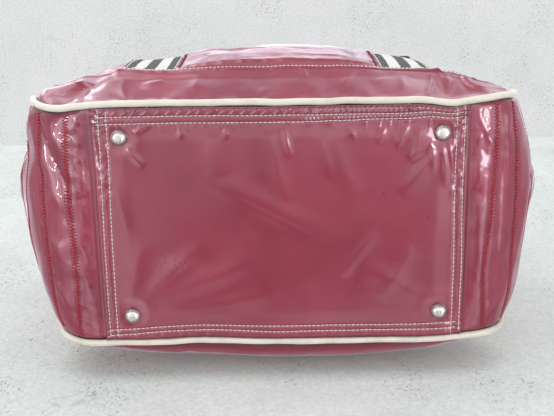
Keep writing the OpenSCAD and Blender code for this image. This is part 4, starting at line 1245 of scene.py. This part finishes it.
def build_piping(side):
    """Covered cord round a face, a little uneven, its ends lapped in a sleeve at the middle of the base."""
    x, s, nx, ns = piping_path()
    seed = 61 if side == "front" else 65
    sway = 0.35 * noise2(x / 24, s / 24, seed)
    lift = 0.3 * noise2(x / 17 + 9, s / 17, seed + 1)
    centre = face_xyz(side, x + nx * sway, s + ns * sway, lift)
    flat = face_xyz(side, x, s, 0)
    out, up = unit(face_xyz(side, x + nx, s + ns, 0) - flat), unit(face_xyz(side, x, s, 1) - flat)
    on_base = (s < 1) & (side == "back")
    sleeve = np.where(on_base, step(-1.2, 0.2, x) * until(20, 34, x), 0)
    radius = PIPE_R * (0.93 + 0.022 * noise2(x / 7, s / 7, seed + 2) + 0.07 * sleeve)
    cos, sin = (v[None, :, None] for v in circle(18))
    rings = centre[:, None] + radius[:, None, None] * (cos * out[:, None] + sin * up[:, None])
    turn = np.linspace(0, 2 * np.pi, 18, endpoint=False)
    uv = together(turn[None] * 2.75, lengths(centre)[:, None]).reshape(-1, 2)
    obj = make_mesh(side + "_cord_piping", *tube_parts(rings, closed=True), MATS["piping"], uv)
    place(obj, "piping", replaces=[side + "_piping"])


# ---------- Lining ----------


def build_lining():
    edge = EDGE_IN + 1.4
    for side, seed in (("front", 141), ("back", 145)):
        s = column(
            edge + (LOW_R - edge) * quarter(9)[1], np.linspace(LOW_R, HIGH_S, 48)[1:],
            HIGH_S + (TOP_R - edge) * quarter(12)[0][1:],
        )
        x = spread(90, 0.7) * half_at(s, edge)
        inset = np.minimum(np.minimum(half_at(s, edge) - np.abs(x), s - edge), BODY_H - edge - s)
        sag = 1.6 * (fbm(x / 38, s / 30, seed) + 1.1) * step(0, 25, inset)
        top = FACE_IN - SEWN_GAP - 0.6 - sag + face_swell(x, s, side, edge) - 1.3 * face_sink(side, x, s)
        layers = (face_xyz(side, x, s, top - LINING_T), face_xyz(side, x, s, top))
        obj = sheet(side + "_inner_lining", *layers, MATS["lining"], x, s)
        place(obj, "lining", replaces=[side + "_lining"])
    half = 120
    p, q = np.linspace(0, PATH_LEN - 1, half), np.linspace(-1, 1, 40)[None, :]
    rows = []
    for depth in (FLOOR_OFF - LINING_T, FLOOR_OFF):
        right = gusset_raw("right", p[:, None], q, depth, edge + 1)
        left = gusset_raw("left", p[::-1][:, None], q, depth, edge + 1)
        rows.append(np.concatenate([left, right]))
    index = np.arange(2 * half)[:, None]
    centre = np.abs(index - (half - 0.5))
    path = centre / (half - 0.5) * PATH_LEN
    slack = 9.0 * step(6, 60, path) * until(255, 310, path) * (1 - q * q)
    wave = 0.9 * (fbm(index / 14, q * 3, 149) + 1.0) * (1 - q**4) + slack
    shift = unit(rows[0] - rows[1])
    shift[half - 1:half + 1] = (0, 0, 1)
    ends = np.minimum(centre / 8, 1) * np.minimum(np.minimum(index, index[::-1]) / 6, 1)
    rows = [row + shift * (wave * ends)[..., None] for row in rows]
    obj = sheet("side_inner_lining", *rows, MATS["lining"], q * 80, column(-p[::-1], p))
    place(obj, "lining", replaces=["gusset_lining"])


# ---------- Zip and top ----------


def build_top_ends():
    """The fixed cloth at both ends of the zip, with the slot that the slider parks in."""
    wide = TOP_D / 2 - EDGE_IN
    x = np.concatenate([
        [0], np.linspace(0.3, END_LEN - 1.9, 14), np.linspace(END_LEN - 1.6, END_LEN - SEWN_GAP, 4),
    ])
    beside = np.linspace(wide, ZIP_REVEAL, 40)
    y = np.concatenate([-beside, np.linspace(-ZIP_REVEAL, ZIP_REVEAL, 12)[1:-1], beside[::-1]])
    gx, gy = np.meshgrid(x, y, indexing="ij")
    mid = (gy[:-1, :-1] + gy[1:, 1:]) / 2
    keep = ~((gx[1:, 1:] <= END_LEN - 1.8) & (np.abs(mid) < ZIP_REVEAL))
    edge = wide - np.abs(gy)
    for side, sign in HALVES:
        rise = 0.5 * noise2(gx / 9 + 2, gy / 11, 151 if side == "left" else 152) * step(0, 12, edge)
        drop = -1.3 * until(0, 3.2, edge) + 0.25 * bell(np.abs(gy) - ZIP_REVEAL - 0.8, 0.8)
        px = sign * (FLAP_X + SEWN_GAP + gx)
        outer, inner = together(px, gy, ZIP_Z + FACE_OUT + rise + drop), together(px, gy, ZIP_Z + FACE_IN)
        obj = sheet(side + "_top_cloth", outer, inner, CLOTH, gy, gx, keep)
        place(obj, "shell_cloth", replaces=[side + "_top_end"])
        rows = []
        for sy in (-1, 1):
            b = np.linspace(ZIP_REVEAL + 2, wide - 4, 40)
            line = together(sign * (FLAP_X + SEWN_GAP + END_LEN - 4), sy * b, ZIP_Z + FACE_OUT + 0.25)
            rows.append(stitch_parts(line[:-1:3], line[2::3], np.array([[0, 0, 1.0]])))
        sewn(side + "_top_stitches", rows)


def blend_half(obj, which):
    """Bakes the half's transform into its mesh. The start and end of the stretch where its cloth would pass
    from the bag to the flap are worked out but not used.
    """
    sign = -1 if which == "left" else 1
    start = (sign * (FLAP_X - 1.5) * MM, 0, ZIP_Z * MM)
    end = (sign * (FLAP_X - BLEND_LEN) * MM, 0, ZIP_Z * MM)
    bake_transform(obj)


def build_flaps():
    """Each flap of the top, made as two meeting halves."""
    span = FLAP_TURN_Y - ZIP_REVEAL
    v = column([0, 0.15, 0.5, 1.0, 1.6], np.linspace(2.4, 42, 30), [43, 44, 45, 45.9, 46.5, 46.9, 47.1]).T
    v = v / 47.1 * span
    turned = 0.55 * bell(span - v - 1.2, 1.1) - 0.3 * bell(span - v - 3.2, 0.8)
    for side, front in (("front", -1), ("back", 1)):

        def puff(x, v):
            return 0.8 * fbm(x / 30 + (3 if side == "front" else 9), v / 16, 161, 2) + 0.8

        for which, sign in HALVES:
            x = sign * np.linspace(0, FLAP_X, 60)[:, None]
            lift = puff(x, v) * step(0, 10, np.minimum(v, span - v)) + turned
            lift = lift - 0.5 * until(0, 2.2, v) - 0.6 * until(0, 0.8, span - v)
            pucker = 0.2 * noise2(x / 3.0, 6.0, 163) * np.exp(-(span - v) / 4.0)
            y = front * (FLAP_TURN_Y - v)
            outer = together(x, y, ZIP_Z + FACE_OUT + lift + pucker)
            name = f"{side}_flap_{which}"
            obj = sheet(name, outer, together(x, y, ZIP_Z + FACE_IN), CLOTH, x, v)
            place(obj, "shell_cloth", body=None, replaces=[side + "_flap"])
            blend_half(obj, which)
            ends = []
            for along in (0, 2.5):
                x = sign * (np.arange(1.0, FLAP_X - 2, STITCH_PITCH) + along)
                z = ZIP_Z + FACE_OUT - 0.3 + puff(x, span - 3.2) * float(step(0, 10, 3.2))
                z = z + 0.2 * noise2(x / 3.0, 6.0, 163) * math.exp(-0.8) + 0.05
                ends.append(together(x, front * (ZIP_REVEAL + 3.2), z))
            rows = sewn(name + "_stitches", [stitch_parts(*ends, np.array([[0, 0, 1.0]]))], body=None)
            blend_half(rows, which)


def tooth_part(cx, front, z_mid, root):
    """One tooth with bevelled faces, from its root on the cord to its blunt tip past the middle line."""
    w, tip = TOOTH_W / 2, TOOTH_W * 0.28
    half = [(w, -root), (w * 1.05, -TOOTH_ROOT), (w * 0.8, -1.6), (w, -0.7)]
    half += [(w, TOOTH_MESH - tip), (w - tip, TOOTH_MESH)]
    shape = [(-w, -root)] + half + [(-a, b) for a, b in half[:0:-1]]
    rings = [
        [(cx + a * inset, -front * b, z_mid + zf * TOOTH_H / 2) for a, b in shape]
        for zf, inset in ((-1, 0.82), (-0.78, 1.0), (0.78, 1.0), (1, 0.82))
    ]
    return tube_parts(np.array(rings, float))


def build_zip():
    """Woven tapes and metal teeth, in halves."""
    root = TOOTH_ROOT + CORD_W
    count = int((2 * FLAP_X - TOOTH_PITCH) / TOOTH_PITCH) + 1
    z_mid = ZIP_Z + TAPE_MID
    for side, front in (("front", -1), ("back", 1)):
        behind = side == "back"
        centres = -FLAP_X + TOOTH_PITCH / 2 * (1 + behind) + TOOTH_PITCH * np.arange(count - behind)
        for which, sign in HALVES:
            x = sign * np.linspace(0, FLAP_X, 90)[:, None]
            y = front * np.linspace(root - 0.4, ZIP_REVEAL + TAPE_UNDER, 22)[None, :]
            faces = [together(x, y, z_mid + up * TAPE_T / 2 + 0.05 * np.sin(x * 2.1)) for up in (1, -1)]
            tape = sheet(f"{side}_tape_{which}", *faces, MATS["tape"], y, x)
            place(tape, "zip_tape", body=None, replaces=[side + "_zip_tape"])
            row = [tooth_part(cx, front, z_mid, root) for cx in centres if (cx < 0) == (which == "left")]
            teeth = join(f"{side}_teeth_{which}", row, MATS["zip_metal"])
            place(teeth, "zip_metal", body=None, replaces=[side + "_zip_teeth"])
            # The cord along the tape's edge, which the teeth are clamped on
            cos, sin = circle(10)
            rings = together(
                sign * np.linspace(0, FLAP_X, 150)[:, None],
                front * (TOOTH_ROOT + CORD_W / 2) + CORD_W / 2 * cos, z_mid + TOOTH_H * 0.42 * sin,
            )
            co, faces = tube_parts(rings)
            cord = make_mesh(f"{side}_tooth_cord_{which}", co, faces, MATS["tape"], co[:, :2])
            place(cord, "zip_tape", body=None)
            for obj in (tape, teeth, cord):
                blend_half(obj, which)


def build_pull():
    """The stitched tab on the slider's link: cloth folded round the link's bar."""
    link_z = float(sum((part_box("zip_pull_link")[k][2] for k in (0, 1)))) / 2 / MM
    x0 = float(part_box("zip_pull_tab")[0][0]) / MM
    x1 = float(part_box("zip_pull_tab")[1][0]) / MM
    eye = x0 + LINK_T / 2 + 1.15
    t = np.linspace(0, 1, 44)[:, None]
    narrow = LINK_W / 2 - 1.65
    half = narrow + (LINK_W / 2 + 0.4 - narrow) * step(0.12, 0.2, t)
    corner = np.sqrt(np.maximum(0.05, 1 - np.clip((t - 0.93) / 0.07, 0, 1) ** 2))
    q = spread(16, 0.6)
    crown = np.sqrt(np.maximum(0.0, 1 - np.abs(q) ** 6)) * 0.8 + 0.2
    thick = (TAB_T / 2 - 0.15 * bell(np.abs(q) - 0.72, 0.1)) * crown
    x, y = eye + t * (x1 - eye), q * half * (0.55 + 0.45 * corner)
    co, quads = sheet_parts(*(together(x, y, link_z + up * thick) for up in (1, -1)))
    # The loop round the bar, from its outer to its inner skin
    cos, sin = circle(26)
    across = np.array([-narrow, -narrow + 0.2, narrow - 0.2, narrow])
    rings = []
    outside, inside = zip(across, (1.75, 1.9, 1.9, 1.75)), zip(across[::-1], (1.1, 1.0, 1.0, 1.1))
    for wider, section in ((0.05, outside), (0.0, inside)):
        rings += [together(eye - 0.15 + (r + wider) * cos, y, link_z + r * sin) for y, r in section]
    obj = join("pull_tab_cloth", [(co, [quads]), tube_parts(np.array(rings), closed=True)], CLOTH)
    place(obj, "shell_cloth", body="pull", replaces=["zip_pull_tab"])
    rows = []
    for sz in (-1, 1):
        for sy in (-1, 1):
            x = np.arange(eye + 7.5, x1 - 3, 2.6)
            start = together(x, sy * LINK_W / 2 * 0.74, link_z + sz * (TAB_T / 2 - 0.2))
            rows.append(stitch_parts(start, start + (2.0, 0, 0), np.array([[0, 0, float(sz)]]), 0.28))
    sewn("pull_tab_stitches", rows, body="pull")


# ---------- Handles ----------


def handle_points(side, ring_n=72):
    """Rings of points along a handle: a flat strap at its feet that folds into a rounded grip."""
    # The path's x, height over the straps' ends, direction in degrees, and how far the webbing is folded
    f = np.linspace(-0.10, 1, 52)
    leg = together(STRAP_X, LEG_LEN * f, 90.0, step(LEG_FLAT, 1, f))
    t = np.linspace(0, 90, 62)[1:]
    arch = together(STRAP_X * np.cos(np.radians(t)), LEG_LEN + ARCH_H * np.sin(np.radians(t)), 90 + t, 1.0)
    right = np.concatenate([leg, arch])
    left = right[:-1][::-1] * (-1, 1, -1, 1) + (0, 0, 360, 0)
    path = np.concatenate([right, left])
    px, ps, turn, share = (path[:, k:k + 1] for k in range(4))
    cos, sin = circle(ring_n)
    wide, thick = WEB_W + (GRIP_W - WEB_W) * share, WEB_T + (GRIP_T - WEB_T) * share
    power = 0.22 + (0.8 - 0.22) * share
    u = wide / 2 * np.sign(cos) * np.abs(cos) ** power
    v = thick / 2 * np.sign(sin) * np.abs(sin) ** power
    along = lengths(path[:, :2])[:, None]
    v = v + 0.10 * np.sin(2 * np.pi * along / 1.7) * np.sign(v)
    v = v - 0.5 * bell(u / (wide / 2) - 0.80, 0.07) * share * np.sign(v)
    v = v - 1.6 * until(-7.4, 4.0, ps)
    x, s = px + u * np.sin(np.radians(turn)), ps - u * np.cos(np.radians(turn))
    # The lean in from the panel, about the line where the handle leaves its straps
    lean = math.radians(-HANDLE_LEAN)
    s, v = s * math.cos(lean) - v * math.sin(lean), s * math.sin(lean) + v * math.cos(lean)
    out = TURN_OUT + face_swell(STRAP_X - WEB_W / 2, TURN_S, side)
    return face_xyz(side, x, TURN_S + s, out + v), together((u / wide + 0.5) * WEB_W, along), out


def build_handle(side):
    rings, uv, out = handle_points(side)
    obj = make_mesh(side + "_handle_webbing", *tube_parts(rings), MATS["webbing"], uv.reshape(-1, 2))
    place(obj, "webbing", body=None, replaces=[side + "_handle"])
    low = face_xyz(side, 0, TURN_S - 7, out) * MM
    high = face_xyz(side, 0, TURN_S + 9, out) * MM
    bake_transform(obj)
    # Stitches along the folded grip's open edge
    ring_n = rings.shape[1]
    a = np.linspace(0, 2 * np.pi, ring_n, endpoint=False)
    rows = []
    for target, sign in ((0.62, 1), (2 * np.pi - 0.62, -1)):
        line = rings[30:-30, int(np.argmin(np.abs(a - target)))]
        flat = unit(face_xyz(side, 0, 0, 1) - face_xyz(side, 0, 0, 0)) * sign
        length = lengths(line)
        t0 = np.arange(0, length[-1] - 3.4, 3.4)
        starts, ends = (
            np.stack([np.interp(t, length, field) for field in line.T], -1) for t in (t0, t0 + 2.7)
        )
        rows.append(stitch_parts(starts, ends, flat[None], 0.38))
    sewn(side + "_handle_stitches", rows, slot="webbing", body=side + "_handle")


# ---------- Materials of the solids that stay ----------


def dress_solids():
    """The hard parts keep their solids, with softened edges and real finishes."""
    finishes = {"stud_washers": "nickel", "base_board": "board"}
    finishes |= {"zip_slider": "zip_metal", "zip_pull_link": "zip_metal"}
    for name, key in finishes.items():
        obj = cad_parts[name]
        obj.data.materials.clear()
        obj.data.materials.append(MATS[key])
        edge = obj.modifiers.new("Soft edges", "BEVEL")
        edge.width, edge.segments, edge.limit_method = 0.00016, 2, "ANGLE"
    for name in ("left_zip_end", "right_zip_end"):
        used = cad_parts[name].data.materials
        for i, mat in enumerate(list(used)):
            used[i] = MATS["zip_metal"] if "metal" in (mat.name if mat else "") else MATS["tape"]


# ---------- Stage ----------

BACKDROP = rgb(226, 228, 228)

CAMERA_PITCH, CAMERA_ROLL, CAMERA_DISTANCE = math.radians(16.5), math.radians(-0.9), 0.684
CAMERA_RIGHT, CAMERA_UP, CAMERA_LENS = -0.00264, 0.01356, 59.0


def build_camera():
    """A low camera that looks up at the base, with the bag's front uppermost."""
    back = Vector((0, -math.sin(CAMERA_PITCH), -math.cos(CAMERA_PITCH)))
    right, up = Vector((1, 0, 0)), Vector((0, -math.cos(CAMERA_PITCH), math.sin(CAMERA_PITCH)))
    c, s = math.cos(CAMERA_ROLL), math.sin(CAMERA_ROLL)
    right, up = c * right + s * up, c * up - s * right
    data = bpy.data.cameras.new("camera")
    data.lens, data.sensor_width = CAMERA_LENS, 36.0
    data.clip_start, data.clip_end = 0.01, 50.0
    camera = bpy.data.objects.new("camera", data)
    eye = Vector((0, 0, PIPE_Z * MM)) + CAMERA_DISTANCE * back + CAMERA_RIGHT * right + CAMERA_UP * up
    camera.matrix_world = Matrix.Translation(eye) @ Matrix((right, up, back)).transposed().to_4x4()
    bpy.context.scene.collection.objects.link(camera)
    bpy.context.scene.camera = camera


def build_world():
    """Pale to the camera, even for diffuse light, and softly graded where the coating mirrors it.

    x, y and z are the mirrored direction's parts. a and b are x and y over the way down.
    """
    tree = Tree(bpy.data.worlds.new("studio"))
    rays = tree.node("LightPath", {})
    generated = tree.value("TexCoord", output="Generated")
    way = tree.node("SeparateXYZ", {0: generated})
    x, y, z = (Value(tree, way.outputs[k]) for k in range(3))
    down = (z * -1.0).at_least(0.05)
    a, b = x / down, y / down
    below, wide = z.ramp(-0.35, -0.75), abs(a)
    near = b.soft(0.32, 0.08) * b.soft(-0.75, -0.3) * 0.75
    left, right, behind = a.soft(-0.10, -0.34) * 1.0, a.soft(0.14, 0.38) * 1.05, b.soft(0.36, 0.48) * 0.35
    lobes = (near + left + (right + behind)) * below
    # A dimmer patch, which the middle of the base mirrors
    dim = wide.soft(0.26, 0.08) * abs(b - 0.34).soft(0.22, 0.03) * (below * 0.34)
    high = z.soft(0.7, 0.99) * y.soft(0.24, 0.0) * 0.66
    sides = abs(x).soft(0.15, 0.32) * z.soft(0.75, 0.9) * y.soft(0.0, 0.14) * 0.35
    level = (high + sides - y.soft(0.45, 0.75) * 0.25).plus_to(0.58) + (lobes - dim)
    level = level * (1.0 - wide.soft(0.42, 0.56) * (below * 0.5))
    ahead_up = y.within(-0.46, -0.58, -0.74, -0.86) * (z.soft(0.2, 0.5) * x.within(0.26, 0.08, -0.14, -0.28))
    level = level * (1.0 - ahead_up * 0.42)
    # Paler stretches in front on both sides, which the band's rounded corners mirror
    corner = x.soft(-0.1, -0.22) * (y.soft(-0.05, -0.3) * z.soft(-0.1, 0.2))
    other = x.soft(0.12, 0.22) * (y.soft(-0.28, -0.4) * z.soft(0.5, 0.75))
    deep = x.soft(-0.04, -0.16) * (y.soft(-0.58, -0.72) * z.soft(0.74, 0.6)) * z.soft(-0.3, 0.05)
    level = level + (corner + other) * 0.45 + deep * 1.1
    # Dimmer overhead to either side of the pocket
    beside = abs(x).within(0.11, 0.18, 0.24, 0.32) * z.soft(0.84, 0.92) * abs(y).soft(0.32, 0.2)
    level = level * (1.0 - beside * 0.45)
    level = level * tree.cloud(generated, 4.5, 3.0, 0.55).ramp(0.38, 0.62, 0.6, 1.5)
    # Tall windows low on both sides, and a long one in front: crinkles catch them
    aside = wide.within(0.54, 0.58, 1.04, 1.12).at_least(wide.within(1.7, 1.8, 2.5, 2.7) * 0.6)
    tall = b.soft(0.36, 0.28).at_least(b.soft(0.8, 0.6) * 0.34)
    ahead = b.within(-0.48, -0.54, -0.78, -0.86) * (wide.soft(0.55, 0.5) * 0.55)
    level = level + (aside * (tall * b.soft(-0.7, -0.6))).at_least(ahead) * (z.soft(-0.25, -0.4) * 2.6)
    slit = a.within(0.38, 0.42, 0.70, 0.74) * b.within(-0.02, 0.04, 0.18, 0.24)
    level = level + slit * (below * 11.0)
    diffuse = tree.value("Background", {"Color": (1.0, 1.0, 1.0, 1.0), "Strength": 0.57})
    shine = tree.value("Background", {"Color": (1.0, 0.98, 1.10, 1.0), "Strength": level})
    seen = tree.value("Background", {"Color": BACKDROP, "Strength": 1.0})
    glossy, camera = (Value(tree, rays.outputs[key]) for key in ("Is Glossy Ray", "Is Camera Ray"))
    bpy.context.scene.world = tree.done(tree.blend(camera, tree.blend(glossy, diffuse, shine), seen))


def build_light(name, where, size, power, shiny=True, toward=(0, 0, 0.13)):
    data = bpy.data.lights.new(name, "AREA")
    data.shape, data.size, data.size_y, data.energy = "RECTANGLE", size[0], size[1], power
    lamp = bpy.data.objects.new(name, data)
    lamp.location = where
    lamp.rotation_mode = "QUATERNION"
    lamp.rotation_quaternion = (Vector(toward) - Vector(where)).to_track_quat("-Z", "Y")
    lamp.visible_glossy = shiny
    bpy.context.scene.collection.objects.link(lamp)


def concrete(name, colour, other):
    """Pale smooth concrete that shows from its front only."""
    tree = material_tree(name)
    place = tree.place()
    base = tree.mix(tree.cloud(place, 7.0, 7.0, 0.62).ramp(0.34, 0.68), colour, other)
    grain = tree.cloud(place, 330.0, 4.0, 0.8).ramp(0.34, 0.66)
    base = tree.mix(0.26, base, tree.mix(grain, rgb(150, 153, 151), rgb(255, 255, 255)))
    flat = tree.mapped(place, (1.0, 0.55, 0.55))
    patch = tree.cloud(flat, 22.0, 5.0, 0.7).ramp(0.50, 0.60)
    spots = tree.cloud(flat, 420.0, 3.0, 0.8).ramp(0.43, 0.36) * patch
    base = tree.mix(spots * 0.8, base, rgb(128, 132, 132))
    sway = tree.cloud(place, 6.0, 4.0, output="Color")
    warped = tree.value("VectorMath", {0: place, 1: sway}, operation="ADD")
    cracks = tree.value("TexVoronoi", {"Vector": warped, "Scale": 2.2}, "Distance", feature="DISTANCE_TO_EDGE")
    crack = cracks.ramp(0.006, 0.0) * tree.cloud(place, 5.0).ramp(0.5, 0.62)
    base = tree.mix(crack * 0.28, base, rgb(120, 122, 120))
    # Painted shadow: the stone darkens where the bag is close, by ambient occlusion
    open_sky = tree.value("AmbientOcclusion", {"Distance": 0.03}, "AO")
    base = tree.mix((1.0 - open_sky) * 0.80, base, rgb(98, 96, 95))
    # Painted light: the stone partly glows with its own colour, which lightens the bag's shadow on it
    glow = tree.value("Emission", {"Color": base, "Strength": 0.98})
    stone = tree.blend(0.45, tree.value("BsdfDiffuse", {"Color": base}), glow)
    far = tree.value("VectorMath", {0: place}, "Value", operation="LENGTH").ramp(1.0, 2.6)
    faded = tree.blend(far, stone, tree.value("Emission", {"Color": BACKDROP, "Strength": 1.0}))
    behind = tree.value("NewGeometry", output="Backfacing")
    return tree.done(tree.blend(behind, faded, tree.value("BsdfTransparent")))


def build_plane(name, corners, mat):
    mesh = bpy.data.meshes.new(name)
    mesh.from_pydata(corners, [], [(0, 1, 2, 3)])
    mesh.materials.append(mat)
    obj = bpy.data.objects.new(name, mesh)
    bpy.context.scene.collection.objects.link(obj)
    for ray in ("diffuse", "glossy", "transmission", "volume_scatter", "shadow"):
        setattr(obj, "visible_" + ray, False)


def build_stage():
    """A floor, the pale surface behind the bag's back, and the one beyond it that shows from below."""
    y = max(CAD_BOX[1][1], 0.1223) + 0.0004
    far, high, near, wide, reach = 0.87, 4.0, -0.35, 0.75, 8
    stone = concrete("floor_stone", rgb(214, 215, 215), rgb(206, 207, 207))
    corners = [(-reach, -reach, 0), (reach, -reach, 0), (reach, reach, 0), (-reach, reach, 0)]
    build_plane("floor", corners, stone)
    stone = concrete("back_stone", rgb(228, 235, 233), rgb(211, 219, 217))
    corners = [(-reach, y, -0.5), (reach, y, -0.5), (reach, y, high), (-reach, y, high)]
    build_plane("back_surface", corners, stone)
    stone = concrete("far_stone", rgb(235, 236, 238), rgb(224, 226, 226))
    corners = [(-wide, y, far), (wide, y, far), (wide, near, far), (-wide, near, far)]
    build_plane("far_surface", corners, stone)
    build_world()
    for name, where, size, power in (
        ("front_fill", (-0.25, -1.6, 0.3), 1.6, 18), ("low_fill", (-0.2, -0.4, -1.5), 1.6, 5.2),
        ("top_fill", (0.0, -0.1, 1.9), 1.6, 14), ("back_fill", (-0.4, 1.8, 0.7), 1.6, 14),
        ("side_fill_0", (-1.8, -0.2, 0.1), 1.2, 8), ("side_fill_2", (1.8, -0.2, 0.1), 1.2, 8),
    ):
        build_light(name, where, (size, size), power, shiny=False)
    for name, where, size, power in (
        ("low_key_left", (-0.80, -0.16, -1.30), (0.03, 0.36), 1.5),
        ("low_key_right", (0.80, -0.14, -1.25), (0.03, 0.36), 1.5),
        ("low_spark_left", (-1.25, -0.25, -1.0), (0.04, 0.22), 1.2),
        ("low_spark_right", (1.25, -0.2, -0.95), (0.04, 0.22), 1.2),
        ("high_key", (-0.9, -0.9, 1.3), (0.55, 0.55), 1.8), ("rear_key", (0.9, 1.2, 0.9), (0.4, 0.4), 3.0),
    ):
        build_light(name, where, size, power)
    bpy.context.scene.view_settings.view_transform = "Standard"


# ---------- The bag ----------

build_base()
build_studs()
for gusset_side in SIDES:
    build_gusset(gusset_side)
for face_side in FACES:
    build_band(face_side)
    build_panel(face_side)
    build_straps(face_side)
    build_piping(face_side)
    build_handle(face_side)
build_pocket()
build_lining()
build_top_ends()
build_flaps()
build_zip()
build_pull()
dress_solids()
build_stage()
build_camera()
